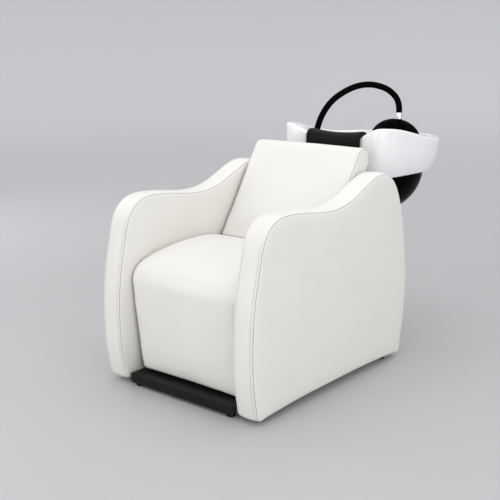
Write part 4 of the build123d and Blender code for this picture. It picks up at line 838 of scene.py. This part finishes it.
# %% Stitch tree
def stitch_tree():
    """A Geometry Nodes tree that turns a line of edges into a row of stitches."""
    tree = bpy.data.node_groups.new("stitch_row", "GeometryNodeTree")
    face = tree.interface
    face.new_socket("Geometry", in_out="INPUT", socket_type="NodeSocketGeometry")
    for label, value in (("Pitch", 0.007), ("Length", 0.0045), ("Thickness", 0.0009)):
        socket = face.new_socket(label, in_out="INPUT", socket_type="NodeSocketFloat")
        socket.default_value = value
    face.new_socket("Thread", in_out="INPUT", socket_type="NodeSocketMaterial")
    face.new_socket("Geometry", in_out="OUTPUT", socket_type="NodeSocketGeometry")
    add = tree.nodes.new
    given, result = add("NodeGroupInput"), add("NodeGroupOutput")
    line, spots = add("GeometryNodeMeshToCurve"), add("GeometryNodeCurveToPoints")
    spots.mode = "LENGTH"
    bead, laid = add("GeometryNodeMeshIcoSphere"), add("GeometryNodeInstanceOnPoints")
    bead.inputs["Radius"].default_value = 0.5
    bead.inputs["Subdivisions"].default_value = 2
    size, real = add("ShaderNodeCombineXYZ"), add("GeometryNodeRealizeInstances")
    thread_set = add("GeometryNodeSetMaterial")
    join = tree.links.new
    join(given.outputs["Geometry"], line.inputs["Mesh"])
    join(line.outputs["Curve"], spots.inputs["Curve"])
    join(given.outputs["Pitch"], spots.inputs["Length"])
    join(spots.outputs["Points"], laid.inputs["Points"])
    join(spots.outputs["Rotation"], laid.inputs["Rotation"])
    join(bead.outputs["Mesh"], laid.inputs["Instance"])
    for axis, label in (("X", "Thickness"), ("Y", "Thickness"), ("Z", "Length")):
        join(given.outputs[label], size.inputs[axis])
    join(size.outputs["Vector"], laid.inputs["Scale"])
    join(laid.outputs["Instances"], real.inputs["Geometry"])
    join(real.outputs["Geometry"], thread_set.inputs["Geometry"])
    join(given.outputs["Thread"], thread_set.inputs["Material"])
    join(thread_set.outputs["Geometry"], result.inputs["Geometry"])
    return tree


def stitch_row(name, lines, thread_finish, body, tree, **sizes):
    """Stitches along lines of points, as one mesh on a body."""
    places, edges = [], []
    for line in lines:
        start = len(places)
        places += [at(*point) for point in line]
        edges += [(start + k, start + k + 1) for k in range(len(line) - 1)]
    mesh = bpy.data.meshes.new(name)
    mesh.from_pydata(places, edges, [])
    row = finished(name, mesh, thread_finish)
    nodes_of = row.modifiers.new("stitches", "NODES")
    nodes_of.node_group = tree
    sockets = {item.name: item.identifier for item in tree.interface.items_tree if item.in_out == "INPUT"}
    nodes_of[sockets["Thread"]] = thread_finish
    for label, value in sizes.items():
        nodes_of[sockets[label]] = value
    baked = bpy.data.meshes.new_from_object(row.evaluated_get(bpy.context.evaluated_depsgraph_get()))
    row.modifiers.remove(nodes_of)
    row.data = baked
    baked.name = name
    for polygon in baked.polygons:
        polygon.use_smooth = True
    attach(row, body)
    print(name, len(baked.polygons), "faces")
    return row


# %% Panel stitches
tree_of_stitches = stitch_tree()
row_line = panel_loop[(front_row > 0.35) & (panel_loop[:, 1] > 0.022)]
row_turn = seam_turn - row_gap / panel_edge
row_shift = panel_edge * (1 - math.sin(row_turn))
row_across = (panel_inner + row_shift, panel_outer - 0.0015 - row_shift)
row_lines = [
    [(out * across, depth, height) for depth, height in row_line] for out in (1, -1) for across in row_across
]
panel_stitches = stitch_row("panel_stitches", row_lines, ivory_thread, "chair", tree_of_stitches,
                            Pitch=0.0065, Length=0.0046, Thickness=0.0009)

# %% [markdown]
# ## Setting
# The photograph's setting is a pale grey sweep under soft light. Here the sweep is a round cove, so the
# same backdrop stands behind the chair from every side. Softboxes in front, at both sides and overhead
# shape the light, and a pale room fills the shadows.

# %% Floor, backdrop and light
cove_profile = [(7.0 * k / 8, 0.0) for k in range(1, 8)] + [
    (7.0 + 2.0 * math.sin(a), 2.0 - 2.0 * math.cos(a)) for a in np.linspace(0, math.pi / 2, 13)
] + [(9.0, 3.5), (9.0, 5.0)]
cove_sides = 96
cove_turns = [2 * math.pi * k / cove_sides for k in range(cove_sides)]
sweep_mesh = bpy.data.meshes.new("studio_sweep")
sweep_mesh.from_pydata(
    [(radius * math.cos(a), radius * math.sin(a), z) for radius, z in cove_profile for a in cove_turns],
    [],
    [tuple(range(cove_sides))] + [
        (r * cove_sides + k, (r + 1) * cove_sides + k, (r + 1) * cove_sides + (k + 1) % cove_sides,
         r * cove_sides + (k + 1) % cove_sides)
        for r in range(len(cove_profile) - 1) for k in range(cove_sides)
    ],
)
# Painted light: the paper grows lighter with distance from the middle, 0.465 to 0.72 between 1.6 and 8 m,
# standing in for light on the far floor and the cove.
sweep_finish, sweep_tree, sweep_shader = new_finish("studio_paper", (0.45, 0.453, 0.46), 0.45)
sweep_where = sweep_tree.nodes.new("ShaderNodeTexCoord")
painted_light_reach = sweep_tree.nodes.new("ShaderNodeVectorMath")
painted_light_reach.operation = "LENGTH"
sweep_tree.links.new(sweep_where.outputs["Object"], painted_light_reach.inputs[0])
sweep_tree.links.new(
    shades(sweep_tree, span(sweep_tree, painted_light_reach.outputs["Value"], 0.0, 1.0, (1.6, 8.0)),
           (0.465, 0.467, 0.473), (0.72, 0.723, 0.73), (0.0, 1.0)),
    sweep_shader.inputs["Base Color"],
)
sweep = finished("studio_sweep", sweep_mesh, sweep_finish)


def softbox(name, place, aim, size, power):
    """A large soft light that looks at a point."""
    light = bpy.data.lights.new(name, "AREA")
    light.shape = "RECTANGLE"
    light.size, light.size_y = size
    light.energy = power
    lamp = bpy.data.objects.new(name, light)
    bpy.context.scene.collection.objects.link(lamp)
    lamp.location = place
    lamp.rotation_mode = "QUATERNION"
    lamp.rotation_quaternion = (Vector(aim) - Vector(place)).to_track_quat("-Z", "Y")


softbox("key_softbox", (-0.6, -3.8, 1.15), (0, 0, 0.35), (3.2, 2.2), 34)
softbox("left_softbox", (-3.6, -0.6, 1.7), (0, 0, 0.4), (2.4, 2.4), 26)
softbox("right_softbox", (3.6, -1.6, 1.5), (0, 0, 0.5), (3.0, 2.6), 46)
softbox("top_softbox", (0.2, 0.6, 3.8), (0, 0, 0.4), (3.4, 3.4), 31)
world = bpy.data.worlds.new("studio_room")
world.use_nodes = True
world.node_tree.nodes["Background"].inputs["Color"].default_value = (0.93, 0.94, 0.96, 1)
world.node_tree.nodes["Background"].inputs["Strength"].default_value = 0.99
bpy.context.scene.world = world
bpy.context.scene.view_settings.view_transform = "Standard"
